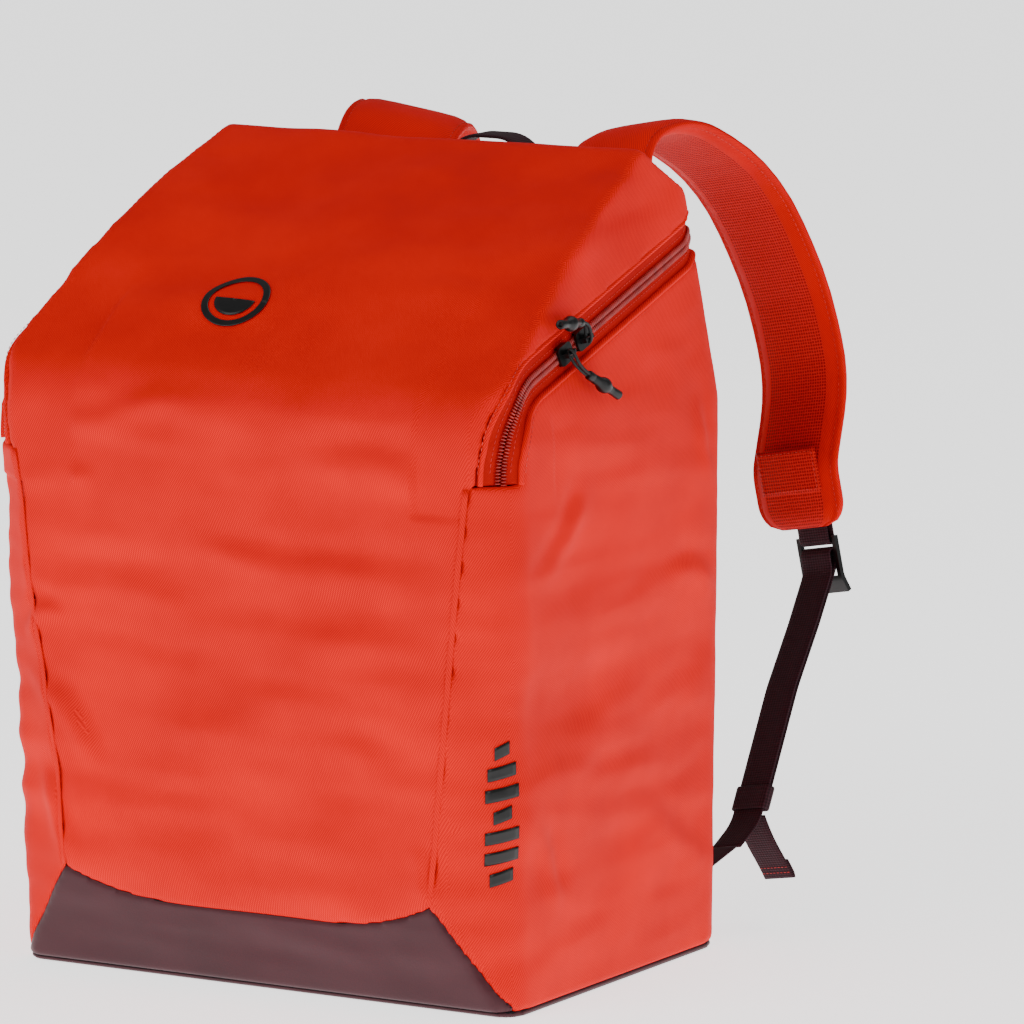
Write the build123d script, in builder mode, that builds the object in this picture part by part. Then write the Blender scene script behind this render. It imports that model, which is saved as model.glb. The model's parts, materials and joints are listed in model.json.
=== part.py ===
"""Ski boot backpack: a 35 litre boot and helmet pack with a zipped clamshell lid and padded shoulder straps.

Millimetres, +Z up, +X to the wearer's side that carries the zip sliders, +Y towards the wearer's back.
The origin is the middle of the flat base, on the surface that the bag stands on.
"""

import math
import os

from build123d import *

# ---------------------------------------------------------------- driving dimensions
# bag body
depth = 270.0  # front plane to back plane
base_half_width = 168.0
belly_half_width = 171.0
belly_height = 330.0
ridge_half_width = 142.0
ridge_height = 480.0
ridge_y = 75.0
fold_height = 352.0  # where the upright front turns into the sloping lid
slope_bulge = 10.0  # how far the middle of the sloping lid stands proud of its chord
lid_back_height = 444.0  # where the lid's back gusset meets the back plane
front_setback = 18.0  # how far the base's front edge sits behind the front plane
guard_height = 64.0
guard_half_width = 124.0  # at its top corners, where the front seams start
guard_dip = 12.0  # the guard's top edge sags this much between its corners
facet_depth = 20.0  # front-to-back size of the angled strip beside each front seam
corner_radius = 25.0
wall = 4.0  # face fabric, thin foam and lining, sewn together

# lid hinge and zip
hinge_height = 309.0
hinge_gap = 0.4
zip_half_width = 11.0
zip_margin = 0.5  # front wall's inner face to the zip's edge
zip_slope = 15.5  # degrees, along the side
zip_back_height = 427.0  # centre of the zip across the back
zip_bend_radius = 50.0
coil_gap = 1.2  # half the gap between the coils' roots, which the slider's post runs in
coil_width = 2.6
coil_height = 2.4
tape_recess = 1.8
tape_thickness = 1.0

# zip sliders and their cord pulls
slider_length = 16.0
slider_clearance = 0.3
plate_thickness = 1.4
flange_thickness = 1.0
post_half_width = 0.35
post_length = 5.0
eye_bar_radius = 0.9
eye_length = 6.4  # between the bridge's two legs
eye_leg = 1.6
upper_slider_y = -27.0
lower_slider_y = -49.0
cord_diameter = 2.0
cord_clearance = 0.3
pull_reach = 10.0  # bar to the cord's knee, across the zip
pull_run = 8.0  # knee to the grip's mouth
upper_pull_lift = 14.0  # degrees that each pull stands off the fabric
lower_pull_lift = 12.0
upper_pull_turn = 70.0  # degrees that each grip turns from straight across the zip
lower_pull_turn = 39.0
grip_length = 28.0
grip_end_radius = 2.8
grip_bulb_radius = 4.6

# back
yoke_half_width = 122.0
yoke_height = 34.0
yoke_thickness = 3.5
yoke_top = zip_back_height - zip_half_width - 2.0
pad_thickness = 9.0
stiffener_thickness = 1.5
board_thickness = 3.0
inner_clearance = 1.0

# shoulder straps
strap_x = 82.0  # middle of the upper seam
strap_seam_height = 402.0
anchor_x = 154.0  # middle of the lower anchor
anchor_height = 48.0
strap_splay = 88.0  # how far out to the side the strap stands at its buckle, measured from its upper seam
strap_reach = 167.0  # and how far back
strap_width = 72.0
foam_thickness = 8.0
cover_thickness = 1.3
liner_thickness = 1.2
joint_gap = 0.5  # half the gap where a moving strap meets its sewn root
webbing_width = 25.0
webbing_thickness = 1.4
lock_rail = 3.0
lock_thickness = 3.0
lock_bar_radius = 1.4
lock_pitch = 9.0  # between the buckle's bars
lock_tab = 10.0
lock_slot = 13.5  # grip bar to the thumb tab, which the webbing goes back through
lock_slack = 1.9  # between the grip bar and the webbing that wraps it
keeper_length = 15.0
keeper_wall = 1.2
keeper_clearance = 0.35
tail_length = 44.0
tail_fold = 10.0

# haul loop
haul_half_width = 30.0
haul_rise = 48.0
haul_webbing = 22.0
haul_thickness = 2.4
haul_foot = 30.0

# ---------------------------------------------------------------- derived places
front = -depth / 2
back = depth / 2
far = 300.0  # beyond the bag in every direction
zip_y = front + wall + zip_half_width + zip_margin
zip_tan = math.tan(math.radians(zip_slope))
zip_cos = math.cos(math.radians(zip_slope))


def zip_height(y):
    """Height of the zip's centre line at a depth y, along its sloping run."""
    return zip_back_height + (y - back) * zip_tan


# ---------------------------------------------------------------- outlines
def shifted(points, distance, closed):
    """The polyline moved sideways by a distance, to the left of its direction of travel."""
    count = len(points)
    moved = []
    for i in range(count):
        before = points[i - 1] if closed or i > 0 else None
        after = points[(i + 1) % count] if closed or i < count - 1 else None
        here = points[i]
        normals = []
        for start, end in ((before, here), (here, after)):
            if start is not None and end is not None:
                run = math.dist(start, end)
                normals.append((-(end[1] - start[1]) / run, (end[0] - start[0]) / run))
        n1, n2 = normals[0], normals[-1]
        share = 1 + n1[0] * n2[0] + n1[1] * n2[1]
        moved.append(
            (
                here[0] + distance * (n1[0] + n2[0]) / share,
                here[1] + distance * (n1[1] + n2[1]) / share,
            )
        )
    return moved


def turn_sign(a, b, c):
    """+1 where the path a, b, c turns left, and -1 where it turns right."""
    cross = (b[0] - a[0]) * (c[1] - b[1]) - (b[1] - a[1]) * (c[0] - b[0])
    return 1 if cross > 0 else -1


def convex_outline(points, radii, inset):
    """Adds the face of a convex outline, counter-clockwise, drawn in by an inset with its corner radii kept parallel."""
    drawn = shifted(points, inset, closed=True)
    kept = [max(r - inset, 0.0) for r in radii]
    with BuildLine(Plane.XY) as line:
        FilletPolyline(*drawn, radius=kept, close=True)
    make_face(line.edges())


def strip(points, radii, near, far_side):
    """Adds the face between two parallels of an open path, from near to far_side, both measured to its left."""
    sides = []
    for distance in (near, far_side):
        signs = [turn_sign(*points[i : i + 3]) for i in range(len(points) - 2)]
        bends = [r - s * distance for r, s in zip(radii, signs)]
        sides.append((shifted(points, distance, closed=False), bends))
    with BuildLine(Plane.XY) as edge:
        for line, bends in sides:
            if bends:
                FilletPolyline(*line, radius=bends)
            else:
                Line(*line)
        Line(sides[0][0][0], sides[1][0][0])
        Line(sides[0][0][-1], sides[1][0][-1])
    make_face(edge.edges())


# ---------------------------------------------------------------- the bag's form
def plan_outline(half_width, seam_x, inset):
    """Horizontal section of the bag: straight sides, round back corners, and an angled strip beside each front seam.
    The strips run on past the front plane, which the side outline then cuts."""
    strip_y = front + facet_depth
    past_y = front - facet_depth / 2
    past_x = seam_x - (half_width - seam_x) / 2
    points = [
        (-past_x, past_y),
        (past_x, past_y),
        (half_width, strip_y),
        (half_width, back),
        (-half_width, back),
        (-half_width, strip_y),
    ]
    convex_outline(points, [0, 0, corner_radius, corner_radius, corner_radius, corner_radius], inset)


def seam_x_at(z):
    """Distance of the front seam from the middle at a height z."""
    top_x = belly_half_width - facet_depth
    rise = (top_x - guard_half_width) / (belly_height - guard_height)
    return guard_half_width + (z - guard_height) * rise


def half_width_at(z):
    """Half the bag's width at a height z."""
    if z < belly_height:
        return base_half_width + (belly_half_width - base_half_width) * z / belly_height
    taper = (belly_half_width - ridge_half_width) / (ridge_height - belly_height)
    return belly_half_width - (z - belly_height) * taper


side_taper = (belly_half_width - ridge_half_width) / (ridge_height - belly_height)
slope_mid = ((front + ridge_y) / 2, (fold_height + ridge_height) / 2)
slope_run = math.dist((front, fold_height), (ridge_y, ridge_height))
side_points = [
    (front + front_setback, 0),
    (back, 0),
    (back, lid_back_height),
    (ridge_y, ridge_height),
    (
        slope_mid[0] - slope_bulge * (ridge_height - fold_height) / slope_run,
        slope_mid[1] + slope_bulge * (ridge_y - front) / slope_run,
    ),
    (front, fold_height),
    (front, guard_height),
]
side_radii = [7, 12, 8, 10, 300, 40, 20]


def side_prism(inset):
    """The bag's side outline, drawn in by an inset and carried across the full width."""
    with BuildPart() as prism:
        with BuildSketch(Plane.YZ):
            convex_outline(side_points, side_radii, inset)
        extrude(amount=far, both=True)
    return prism.part


def body_form(inset):
    """Everything inside the bag's outer surface drawn in by an inset."""
    low, high = -20.0, ridge_height + 30.0
    ridge_seam = belly_half_width - facet_depth
    with BuildPart() as form:
        for z in (low, belly_height, high):
            seam = seam_x_at(z) if z <= belly_height else ridge_seam - (z - belly_height) * side_taper
            with BuildSketch(Plane.XY.offset(z)):
                plan_outline(half_width_at(z), seam, inset)
        loft(ruled=True)
        add(side_prism(inset), mode=Mode.INTERSECT)
    return form.part


def zip_parallel(distance, floor):
    """The zip's centre line in side view, from a floor height up and back, moved towards the lid by a distance."""
    corner = (zip_y, zip_height(zip_y))
    return shifted([(zip_y, floor), corner, (far, zip_height(far))], distance, closed=False)


def across(points, radii):
    """A prism across the whole width, from a closed outline in side view."""
    with BuildPart() as prism:
        with BuildSketch(Plane.YZ):
            with BuildLine():
                FilletPolyline(*points, radius=radii, close=True)
            make_face()
        extrude(amount=far, both=True)
    return prism.part


def lid_side(distance):
    """Everything on the lid's side of the zip and hinge, kept away from the zip's centre line by a distance."""
    floor = hinge_height + hinge_gap
    rest = [(far, 2 * far), (-far, 2 * far), (-far, floor)]
    return across(zip_parallel(distance, floor) + rest, [0, zip_bend_radius + distance, 0, 0, 0, 0])


def bag_side(distance):
    """Everything on the bag's side of the zip and hinge, kept away from the zip's centre line by a distance."""
    rest = [(far, -far), (-far, -far), (-far, hinge_height)]
    return across(
        zip_parallel(-distance, hinge_height) + rest, [0, zip_bend_radius - distance, 0, 0, 0, 0]
    )


def block(x, y, z):
    """A box between two limits along each axis."""
    with BuildPart() as box:
        with Locations(((x[0] + x[1]) / 2, (y[0] + y[1]) / 2, (z[0] + z[1]) / 2)):
            Box(x[1] - x[0], y[1] - y[0], z[1] - z[0])
    return box.part


outer = body_form(0)
inner = body_form(wall)
inner_prism = side_prism(wall)
shell = outer - inner

# ---------------------------------------------------------------- writing the pieces
os.makedirs("parts", exist_ok=True)


def write(piece, name):
    """Labels a piece and writes it as one STEP file."""
    piece.label = name
    export_step(piece, f"parts/{name}.step")


def solids_of(shape):
    """A boolean's result as one compound of its solids, without loose faces."""
    solids = shape.solids()
    return solids[0] if len(solids) == 1 else Compound(children=list(solids))


# ---------------------------------------------------------------- bag body panels
bag_shell = shell & bag_side(zip_half_width)


def front_cut():
    """Everything between the two front seams, from the base to the lid's hinge."""
    top_x = seam_x_at(hinge_height)
    with BuildPart() as cut:
        with BuildSketch(Plane.XZ.offset(-front - 2 * wall - front_setback)):
            with BuildLine():
                Polyline(
                    (-base_half_width, 0),
                    (base_half_width, 0),
                    (guard_half_width, guard_height),
                    (top_x, hinge_height),
                    (-top_x, hinge_height),
                    (-guard_half_width, guard_height),
                    close=True,
                )
            make_face()
        extrude(amount=far)
    return cut.part


def guard_cut():
    """The guard's share of the front: below a top edge that dips between the two seam corners."""
    dip_z = guard_height - guard_dip
    with BuildPart() as cut:
        with BuildSketch(Plane.XZ.offset(-front - 2 * wall - front_setback)):
            with BuildLine():
                Polyline(
                    (-guard_half_width, guard_height),
                    (-base_half_width - wall, guard_height),
                    (-base_half_width - wall, -wall),
                    (base_half_width + wall, -wall),
                    (base_half_width + wall, guard_height),
                    (guard_half_width, guard_height),
                )
                Spline(
                    (guard_half_width, guard_height),
                    (guard_half_width * 0.72, dip_z),
                    (0, dip_z - wall),
                    (-guard_half_width * 0.72, dip_z),
                    (-guard_half_width, guard_height),
                )
            make_face()
        extrude(amount=far)
    return cut.part


base_slab = block((-far, far), (-far, far), (-wall, wall))
base_panel = solids_of(bag_shell & base_slab)
bag_walls = bag_shell - base_slab
front_walls = bag_walls & front_cut()
front_guard = solids_of(front_walls & guard_cut())
front_panel = solids_of(front_walls - guard_cut())
back_half = base_half_width - corner_radius
back_cut = block((-back_half, back_half), (back - 3 * wall, far), (-wall, far * 2))
back_panel = solids_of(bag_walls & back_cut)
side_walls = bag_walls - front_cut() - back_cut
right_half = block((0, far), (-far, far), (-far, 2 * far))
left_half = block((-far, 0), (-far, far), (-far, 2 * far))
write(base_panel, "base_panel")
write(front_guard, "front_guard")
write(front_panel, "front_panel")
write(back_panel, "back_panel")
write(solids_of(side_walls & right_half), "right_side_panel")
write(solids_of(side_walls & left_half), "left_side_panel")

# ---------------------------------------------------------------- lid panels
lid_shell = shell & lid_side(zip_half_width)
lid_ring = lid_shell - inner_prism
behind_ridge = block((-far, far), (ridge_y, far), (-far, 2 * far))
lid_walls = lid_shell & inner_prism
write(solids_of(lid_ring - behind_ridge), "lid_top_panel")
write(solids_of(lid_ring & behind_ridge), "lid_back_gusset")
write(solids_of(lid_walls & right_half), "lid_right_gusset")
write(solids_of(lid_walls & left_half), "lid_left_gusset")


# ---------------------------------------------------------------- zip
def zip_layer(shallow, deep, near, far_side, floor):
    """A ribbon of the bag's surface between two insets and two distances from the zip's centre line."""
    corner = (zip_y, zip_height(zip_y))
    with BuildPart() as band:
        with BuildSketch(Plane.YZ):
            strip([(zip_y, floor), corner, (far, zip_height(far))], [zip_bend_radius], near, far_side)
        extrude(amount=far, both=True)
    return solids_of((body_form(shallow) & band.part) - body_form(deep))


tape_floor = tape_recess + tape_thickness
coil_top = tape_recess - coil_height
for owner, side, floor in (("bag", -1, hinge_height), ("lid", 1, hinge_height + hinge_gap)):
    tape = zip_layer(tape_recess, tape_floor, side * coil_gap, side * zip_half_width, floor)
    coil = zip_layer(coil_top, tape_recess, side * coil_gap, side * (coil_gap + coil_width), floor)
    write(tape, f"{owner}_zip_tape")
    write(coil, f"{owner}_zip_coil")

# ---------------------------------------------------------------- sliders and pulls
zip_run = Vector(-side_taper * zip_tan, 1, zip_tan).normalized()
side_normal = Vector(1, 0, side_taper).normalized()
coil_reach = coil_gap + coil_width
flange_inner = coil_reach + 2.5 * slider_clearance
plate_bottom = -coil_top + slider_clearance
plate_top = plate_bottom + plate_thickness
base_top = -tape_floor - slider_clearance
cord_wrap = eye_bar_radius + cord_diameter / 2 + cord_clearance
bar_height = plate_top + cord_wrap + cord_diameter / 2 + cord_clearance / 2


def slider_plane(y):
    """The frame of a slider on the bag's right side: X along the zip, Z out of the fabric, origin on the surface."""
    z = zip_height(y)
    return Plane(origin=(half_width_at(z), y, z), x_dir=zip_run, z_dir=side_normal)


def slider(y):
    """A two-plate zip slider with a post between the coils and a bridge for the pull's cord."""
    plane = slider_plane(y)
    flange_outer = flange_inner + flange_thickness
    body_width = 2 * flange_outer
    leg_x = eye_length / 2 + eye_leg / 2
    with BuildPart() as body:
        with BuildSketch(plane.offset(plate_bottom)):
            RectangleRounded(slider_length, body_width, 3)
        extrude(amount=plate_thickness)
        with BuildSketch(plane.offset(base_top - plate_thickness)):
            RectangleRounded(slider_length, body_width, 3)
        extrude(amount=plate_thickness)
        with BuildSketch(plane.offset(slider_clearance - tape_recess)):
            with Locations((0, flange_inner + flange_thickness / 2), (0, -flange_inner - flange_thickness / 2)):
                Rectangle(slider_length - 6, flange_thickness)
        extrude(amount=plate_bottom - slider_clearance + tape_recess)
        with BuildSketch(plane.offset(base_top - plate_thickness)):
            Rectangle(post_length, 2 * post_half_width)
        extrude(amount=plate_top - base_top + plate_thickness)
        with BuildSketch(plane.offset(plate_top)):
            with Locations((leg_x, 0), (-leg_x, 0)):
                Rectangle(eye_leg, 2.6)
        extrude(amount=bar_height + eye_bar_radius - plate_top)
        bar = Plane(
            origin=plane.from_local_coords((-leg_x, 0, bar_height)), z_dir=plane.x_dir, x_dir=plane.y_dir
        )
        with BuildSketch(bar):
            Circle(eye_bar_radius)
        extrude(amount=2 * leg_x)
    return body.part


def pull_frame(y, side, lift):
    """The frame of a cord pull, centred on the slider's bridge bar: X along the zip towards the grip's end, -Y across
    the zip towards the grip."""
    plane = slider_plane(y)
    angle = math.radians(lift)
    up = plane.z_dir * math.cos(angle) - plane.y_dir * side * math.sin(angle)
    return Plane(origin=plane.from_local_coords((0, 0, bar_height)), x_dir=plane.x_dir * -side, z_dir=up)


def grip_mouth(turn):
    """Where the cord enters its grip, in the pull's own frame, and the direction that the grip points in."""
    along, out = math.sin(math.radians(turn)), math.cos(math.radians(turn))
    return Vector(pull_run * along, -pull_reach - pull_run * out, 0), Vector(along, -out, 0)


def pull_cord(frame, turn):
    """The cord: out of the grip, across the slider's bridge, round its bar and back into the grip."""
    mouth, _ = grip_mouth(turn)
    spread = cord_diameter / 2 + 0.05
    top = [
        (mouth.X, mouth.Y, spread),
        (0, -pull_reach, spread),
        (0, cord_wrap, cord_wrap),
    ]
    bottom = [(x, y, -z) for x, y, z in reversed(top)]
    route = [frame.from_local_coords(p) for p in top + bottom]
    knee = 0.45 * pull_run / math.tan(math.radians(turn) / 2)
    radii = [knee, cord_wrap - 0.02, cord_wrap - 0.02, knee]
    with BuildPart() as cord:
        with BuildLine() as line:
            FilletPolyline(*route, radius=radii)
        path = line.wires()[0]
        with BuildSketch(Plane(origin=path @ 0, z_dir=path % 0)):
            Circle(cord_diameter / 2)
        sweep(path=path)
    print("pull cord length", round(path.length, 1), "radii", [round(r, 1) for r in radii])
    return cord.part


def pull_grip(frame, turn):
    """A moulded grip: a sleeve on the cord, a round bulb and a short stem."""
    mouth, heading = grip_mouth(turn)
    start = frame.from_local_coords(mouth)
    direction = frame.from_local_coords(mouth + heading) - start
    middle = grip_length / 2
    with BuildPart() as grip:
        with BuildSketch(Plane(origin=start, x_dir=direction, z_dir=frame.z_dir)):
            with BuildLine():
                Polyline((0, grip_end_radius), (0, 0), (grip_length, 0), (grip_length, grip_end_radius))
                Line((grip_length, grip_end_radius), (middle + grip_bulb_radius, grip_end_radius))
                Spline(
                    (middle + grip_bulb_radius, grip_end_radius),
                    (middle, grip_bulb_radius),
                    (middle - grip_bulb_radius, grip_end_radius),
                    tangents=[(-1, 0.6), (-1, -0.6)],
                )
                Line((middle - grip_bulb_radius, grip_end_radius), (0, grip_end_radius))
            make_face()
        revolve(axis=Axis(start, direction))
    return grip.part


for name, y, side, lift, turn in (
    ("upper", upper_slider_y, 1, upper_pull_lift, upper_pull_turn),
    ("lower", lower_slider_y, -1, lower_pull_lift, lower_pull_turn),
):
    frame = pull_frame(y, side, lift)
    write(slider(y), f"{name}_slider")
    write(pull_cord(frame, turn), f"{name}_pull_cord")
    write(pull_grip(frame, turn), f"{name}_pull_grip")
    print(name, "bar", frame.origin, "zip direction", zip_run)

# ---------------------------------------------------------------- base and back
board_x = base_half_width - wall - 8 * inner_clearance
board_front = front + front_setback + wall + 2 * inner_clearance
board_back = back - wall - 0.8 * corner_radius
with BuildPart() as base_board:
    with BuildSketch(Plane.XY.offset(wall)):
        with Locations((0, (board_front + board_back) / 2)):
            RectangleRounded(2 * board_x, board_back - board_front, 1.3 * corner_radius)
    extrude(amount=board_thickness)
write(base_board.part, "base_board")

stiffener_bottom = wall + board_thickness + corner_radius
with BuildPart() as back_stiffener:
    with BuildSketch(Plane.XZ.offset(-(back - wall))):
        with Locations((0, (stiffener_bottom + yoke_top) / 2)):
            RectangleRounded(2 * (back_half - corner_radius / 2), yoke_top - stiffener_bottom, corner_radius)
    extrude(amount=stiffener_thickness)
write(back_stiffener.part, "back_stiffener")

with BuildPart() as strap_yoke:
    with BuildSketch(Plane.XZ.offset(-back)):
        with Locations((0, yoke_top - yoke_height / 2)):
            RectangleRounded(2 * yoke_half_width, yoke_height, 8)
    extrude(amount=-yoke_thickness)
write(strap_yoke.part, "strap_yoke")

pad_top = yoke_top - yoke_height - 8
lumbar_top = 130.0
lumbar_bottom = 42.0
channel = 26.0  # open air channel between the pads
pad_outer = back_half - 6


def back_pad(centre_x, centre_z, width, height):
    """One foam pad under mesh on the back panel, with softened edges."""
    with BuildPart() as pad:
        with BuildSketch(Plane.XZ.offset(-back)):
            with Locations((centre_x, centre_z)):
                RectangleRounded(width, height, 16)
        extrude(amount=-pad_thickness)
        fillet(pad.faces().sort_by(Axis.Y)[-1].edges(), pad_thickness * 0.6)
    return pad.part


upright_bottom = lumbar_top + channel / 2
upright_width = pad_outer - channel / 2
upright_z = (pad_top + upright_bottom) / 2
for name, sign in (("right", 1), ("left", -1)):
    centre_x = sign * (channel / 2 + upright_width / 2)
    write(back_pad(centre_x, upright_z, upright_width, pad_top - upright_bottom), f"{name}_back_pad")
lumbar = back_pad(0, (lumbar_top + lumbar_bottom) / 2, 2 * pad_outer, lumbar_top - lumbar_bottom)
write(lumbar, "lumbar_pad")

# ---------------------------------------------------------------- haul loop
haul_y = back + yoke_thickness + haul_webbing / 2
haul_pivot_z = yoke_top + haul_webbing / 2
haul_path = [
    (-haul_half_width, haul_pivot_z - haul_foot),
    (-haul_half_width, haul_pivot_z + haul_rise),
    (haul_half_width, haul_pivot_z + haul_rise),
    (haul_half_width, haul_pivot_z - haul_foot),
]
knuckle = haul_webbing / 2


def haul_cylinder(radius):
    """A bar along X through the haul loop's fold line."""
    with BuildPart() as bar:
        with BuildSketch(Plane.YZ):
            with Locations((haul_y, haul_pivot_z)):
                Circle(radius)
        extrude(amount=far, both=True)
    return bar.part


with BuildPart() as haul_strap:
    with BuildSketch(Plane.XZ.offset(-haul_y)):
        strip(haul_path, [haul_half_width * 0.8] * 2, -haul_thickness / 2, haul_thickness / 2)
    extrude(amount=haul_webbing / 2, both=True)
below_pivot = block((-far, far), (back + yoke_thickness, far), (0, haul_pivot_z))
knuckle_zone = haul_cylinder(knuckle)
haul_foot_part = haul_strap.part & (below_pivot + knuckle_zone)
haul_loop_part = (haul_strap.part - below_pivot) - haul_cylinder(1.22 * knuckle)
write(solids_of(haul_foot_part), "haul_loop_feet")
write(solids_of(haul_loop_part), "haul_loop")
print("haul pivot", haul_y, haul_pivot_z)

# ---------------------------------------------------------------- shoulder straps
# Each strap lies in one plane that holds the upper seam and the lower anchor. In it, v runs away from the
# wearer's back and h runs up the line between the two, from the seam.
seam_point = Vector(strap_x, back + 2, strap_seam_height)
anchor_point = Vector(anchor_x, back + 3, anchor_height)
buckle_side = Vector(strap_x + strap_splay, back + strap_reach, strap_seam_height - 200)
strap_up = (seam_point - anchor_point).normalized()
reach = buckle_side - seam_point
strap_out = (reach - strap_up * reach.dot(strap_up)).normalized()
strap_plane = Plane(origin=seam_point, x_dir=strap_out, z_dir=strap_out.cross(strap_up))
anchor_h = -(seam_point - anchor_point).length

root_top = 30.0
pad_path = [(16, root_top), (19, 68), (62, 76), (122, 38), (148, -35), (152, -95), (128, -145), (128, -182)]
pad_radii = [24, 55, 110, 180, 90, 30]
root_path = [(13, -16), (16, root_top - 2 * joint_gap)]
pad_end_v, pad_end_h = pad_path[-1]
cover_face = foam_thickness / 2 + cover_thickness
bar_v = pad_end_v + cover_face + webbing_thickness / 2 + lock_bar_radius + 0.4 + webbing_thickness / 2
bar_h = pad_end_h - 9
grip_h = bar_h - lock_pitch
wrap_radius = lock_bar_radius + lock_slack + webbing_thickness / 2


def strap_strip(points, radii, near, far_side, width):
    """A flat strip along a path in the strap's plane."""
    with BuildPart() as piece:
        with BuildSketch(strap_plane):
            strip(points, radii, near, far_side)
        extrude(amount=width / 2, both=True)
    return piece.part


half_foam = foam_thickness / 2
half_web = webbing_thickness / 2
pad_foam = strap_strip(pad_path, pad_radii, -half_foam, half_foam, strap_width - 8)
pad_cover = strap_strip(pad_path, pad_radii, half_foam, cover_face, strap_width)
pad_liner = strap_strip(pad_path, pad_radii, -half_foam - liner_thickness, -half_foam, strap_width)
patch_near = -half_foam - liner_thickness - 1.0
patch_path = [(pad_end_v, pad_end_h + 50), (pad_end_v, pad_end_h + 24)]
pad_patch = strap_strip(patch_path, [], patch_near, -half_foam - liner_thickness, strap_width * 0.8)

root_block = strap_strip(root_path, [], -half_foam - liner_thickness, 20, strap_width)
root_part = root_block - body_form(-1.2) - strap_yoke.part

tape_v = pad_end_v + cover_face + half_web
tape_path = [
    (tape_v, pad_end_h + 30),
    (tape_v, bar_h - (bar_v - tape_v)),
    (2 * bar_v - tape_v, bar_h - (bar_v - tape_v)),
    (2 * bar_v - tape_v, bar_h + 10),
    (tape_v + webbing_thickness + 0.1, bar_h + 20),
    (tape_v + webbing_thickness + 0.1, pad_end_h + 29),
]
tape_bend = bar_v - tape_v - 0.01
buckle_tape = strap_strip(tape_path, [tape_bend, tape_bend, 5, 5], -half_web, half_web, webbing_width)

# one length of webbing: from the lower anchor up to the buckle, round its grip bar and down again as the tail
fold_back = 2.0  # the tail lies this far outside the main length
keeper_v, keeper_h = 36.0, -346.0
main_path = [
    (17, anchor_h + 4),
    (keeper_v, keeper_h),
    (85, -272),
    (112, -238),
    (bar_v - wrap_radius, grip_h - 10),
    (bar_v - wrap_radius, grip_h + wrap_radius),
    (bar_v + wrap_radius, grip_h + wrap_radius),
    (bar_v + wrap_radius, grip_h - wrap_radius),
]
main_radii = [30, 120, 90, 12, wrap_radius - 0.01, wrap_radius - 0.01, 3.0]
tail_line = shifted(main_path[:5], -fold_back, closed=False)
keeper_dir = Vector(*(Vector(*main_path[2]) - Vector(*main_path[1]))).normalized()
tail_start = Vector(*tail_line[1]) + keeper_dir * 7
web_path = main_path + [tail_line[4], tail_line[3], tail_line[2], (tail_start.X, tail_start.Y)]
web_radii = main_radii + [8, 60, 80]
adjuster = strap_strip(web_path, web_radii, -half_web, half_web, webbing_width)

# the keeper is a flat tube round both lengths
keeper_mid = Vector(*main_path[1]) + keeper_dir * 16
keeper_normal = Vector(-keeper_dir.Y, keeper_dir.X)
keeper_centre = keeper_mid - keeper_normal * (fold_back / 2)
keeper_start = keeper_centre - keeper_dir * (keeper_length / 2)
keeper_end = keeper_centre + keeper_dir * (keeper_length / 2)
keeper_half = fold_back / 2 + half_web + keeper_clearance
keeper_line = [(keeper_start.X, keeper_start.Y), (keeper_end.X, keeper_end.Y)]
keeper = strap_strip(
    keeper_line,
    [],
    -keeper_half - keeper_wall,
    keeper_half + keeper_wall,
    webbing_width + 2 * keeper_clearance + 2 * keeper_wall,
) - strap_strip(keeper_line, [], -keeper_half, keeper_half, webbing_width + 2 * keeper_clearance)

# the free tail hangs from the keeper, its end folded over and sewn
tail_pivot = tail_start - keeper_dir * 1.0
tail_top = tail_pivot + Vector(0.33, -0.94) * 0.8
tail_tip = tail_pivot + Vector(0.33, -0.94) * tail_length
fold_top = tail_tip - Vector(0.33, -0.94) * tail_fold
tail = strap_strip(
    [(tail_top.X, tail_top.Y), (tail_tip.X, tail_tip.Y)], [], -half_web, half_web, webbing_width
) + strap_strip(
    [(fold_top.X, fold_top.Y), (tail_tip.X, tail_tip.Y)], [], half_web, 3 * half_web, webbing_width
)

# the sewn stub of webbing that leaves the side seam
stub_path = [(-25, anchor_h - 8), (12, anchor_h + 4)]
anchor_part = strap_strip(stub_path, [], -half_web, half_web, webbing_width) - outer


def ladder_lock():
    """Three bars between two rails, with a thumb tab that curves away from the strap."""
    inside = webbing_width / 2 + 1.0
    tab_h = grip_h - lock_slot
    rail_path = [(bar_v, bar_h + 2.2), (bar_v, tab_h), (bar_v + 4, tab_h - lock_tab)]
    half = lock_thickness / 2
    frame = strap_strip(rail_path, [14], -half, half, 2 * (inside + lock_rail))
    window = strap_strip([(bar_v, bar_h + 9), (bar_v, tab_h)], [], -2 * half, 2 * half, 2 * inside)
    lock = frame - window
    for h in (bar_h, grip_h):
        with BuildPart() as bar:
            with BuildSketch(strap_plane):
                with Locations((bar_v, h)):
                    Circle(lock_bar_radius)
            extrude(amount=inside + lock_rail / 2, both=True)
        lock = lock + bar.part
    return lock


lock = ladder_lock()
pieces = {
    "pad_foam": pad_foam,
    "pad_cover": pad_cover,
    "pad_liner": pad_liner,
    "pad_patch": pad_patch,
    "strap_root": root_part,
    "buckle_tape": buckle_tape,
    "adjuster_webbing": adjuster,
    "keeper": keeper,
    "webbing_tail": tail,
    "strap_anchor": anchor_part,
    "ladder_lock": lock,
}
for name, piece in pieces.items():
    solid = solids_of(piece)
    write(solids_of(mirror(solid, about=Plane.YZ)), f"left_{name}")
    write(solid, f"right_{name}")

for label, point in (
    ("seam", (0, 0)),
    ("buckle bar", (bar_v, bar_h)),
    ("tail pivot", (tail_pivot.X, tail_pivot.Y)),
):
    print("right", label, strap_plane.from_local_coords((point[0], point[1], 0)))
print("strap up", strap_up, "width", strap_plane.z_dir)
print("hinge", front, hinge_height)
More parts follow.
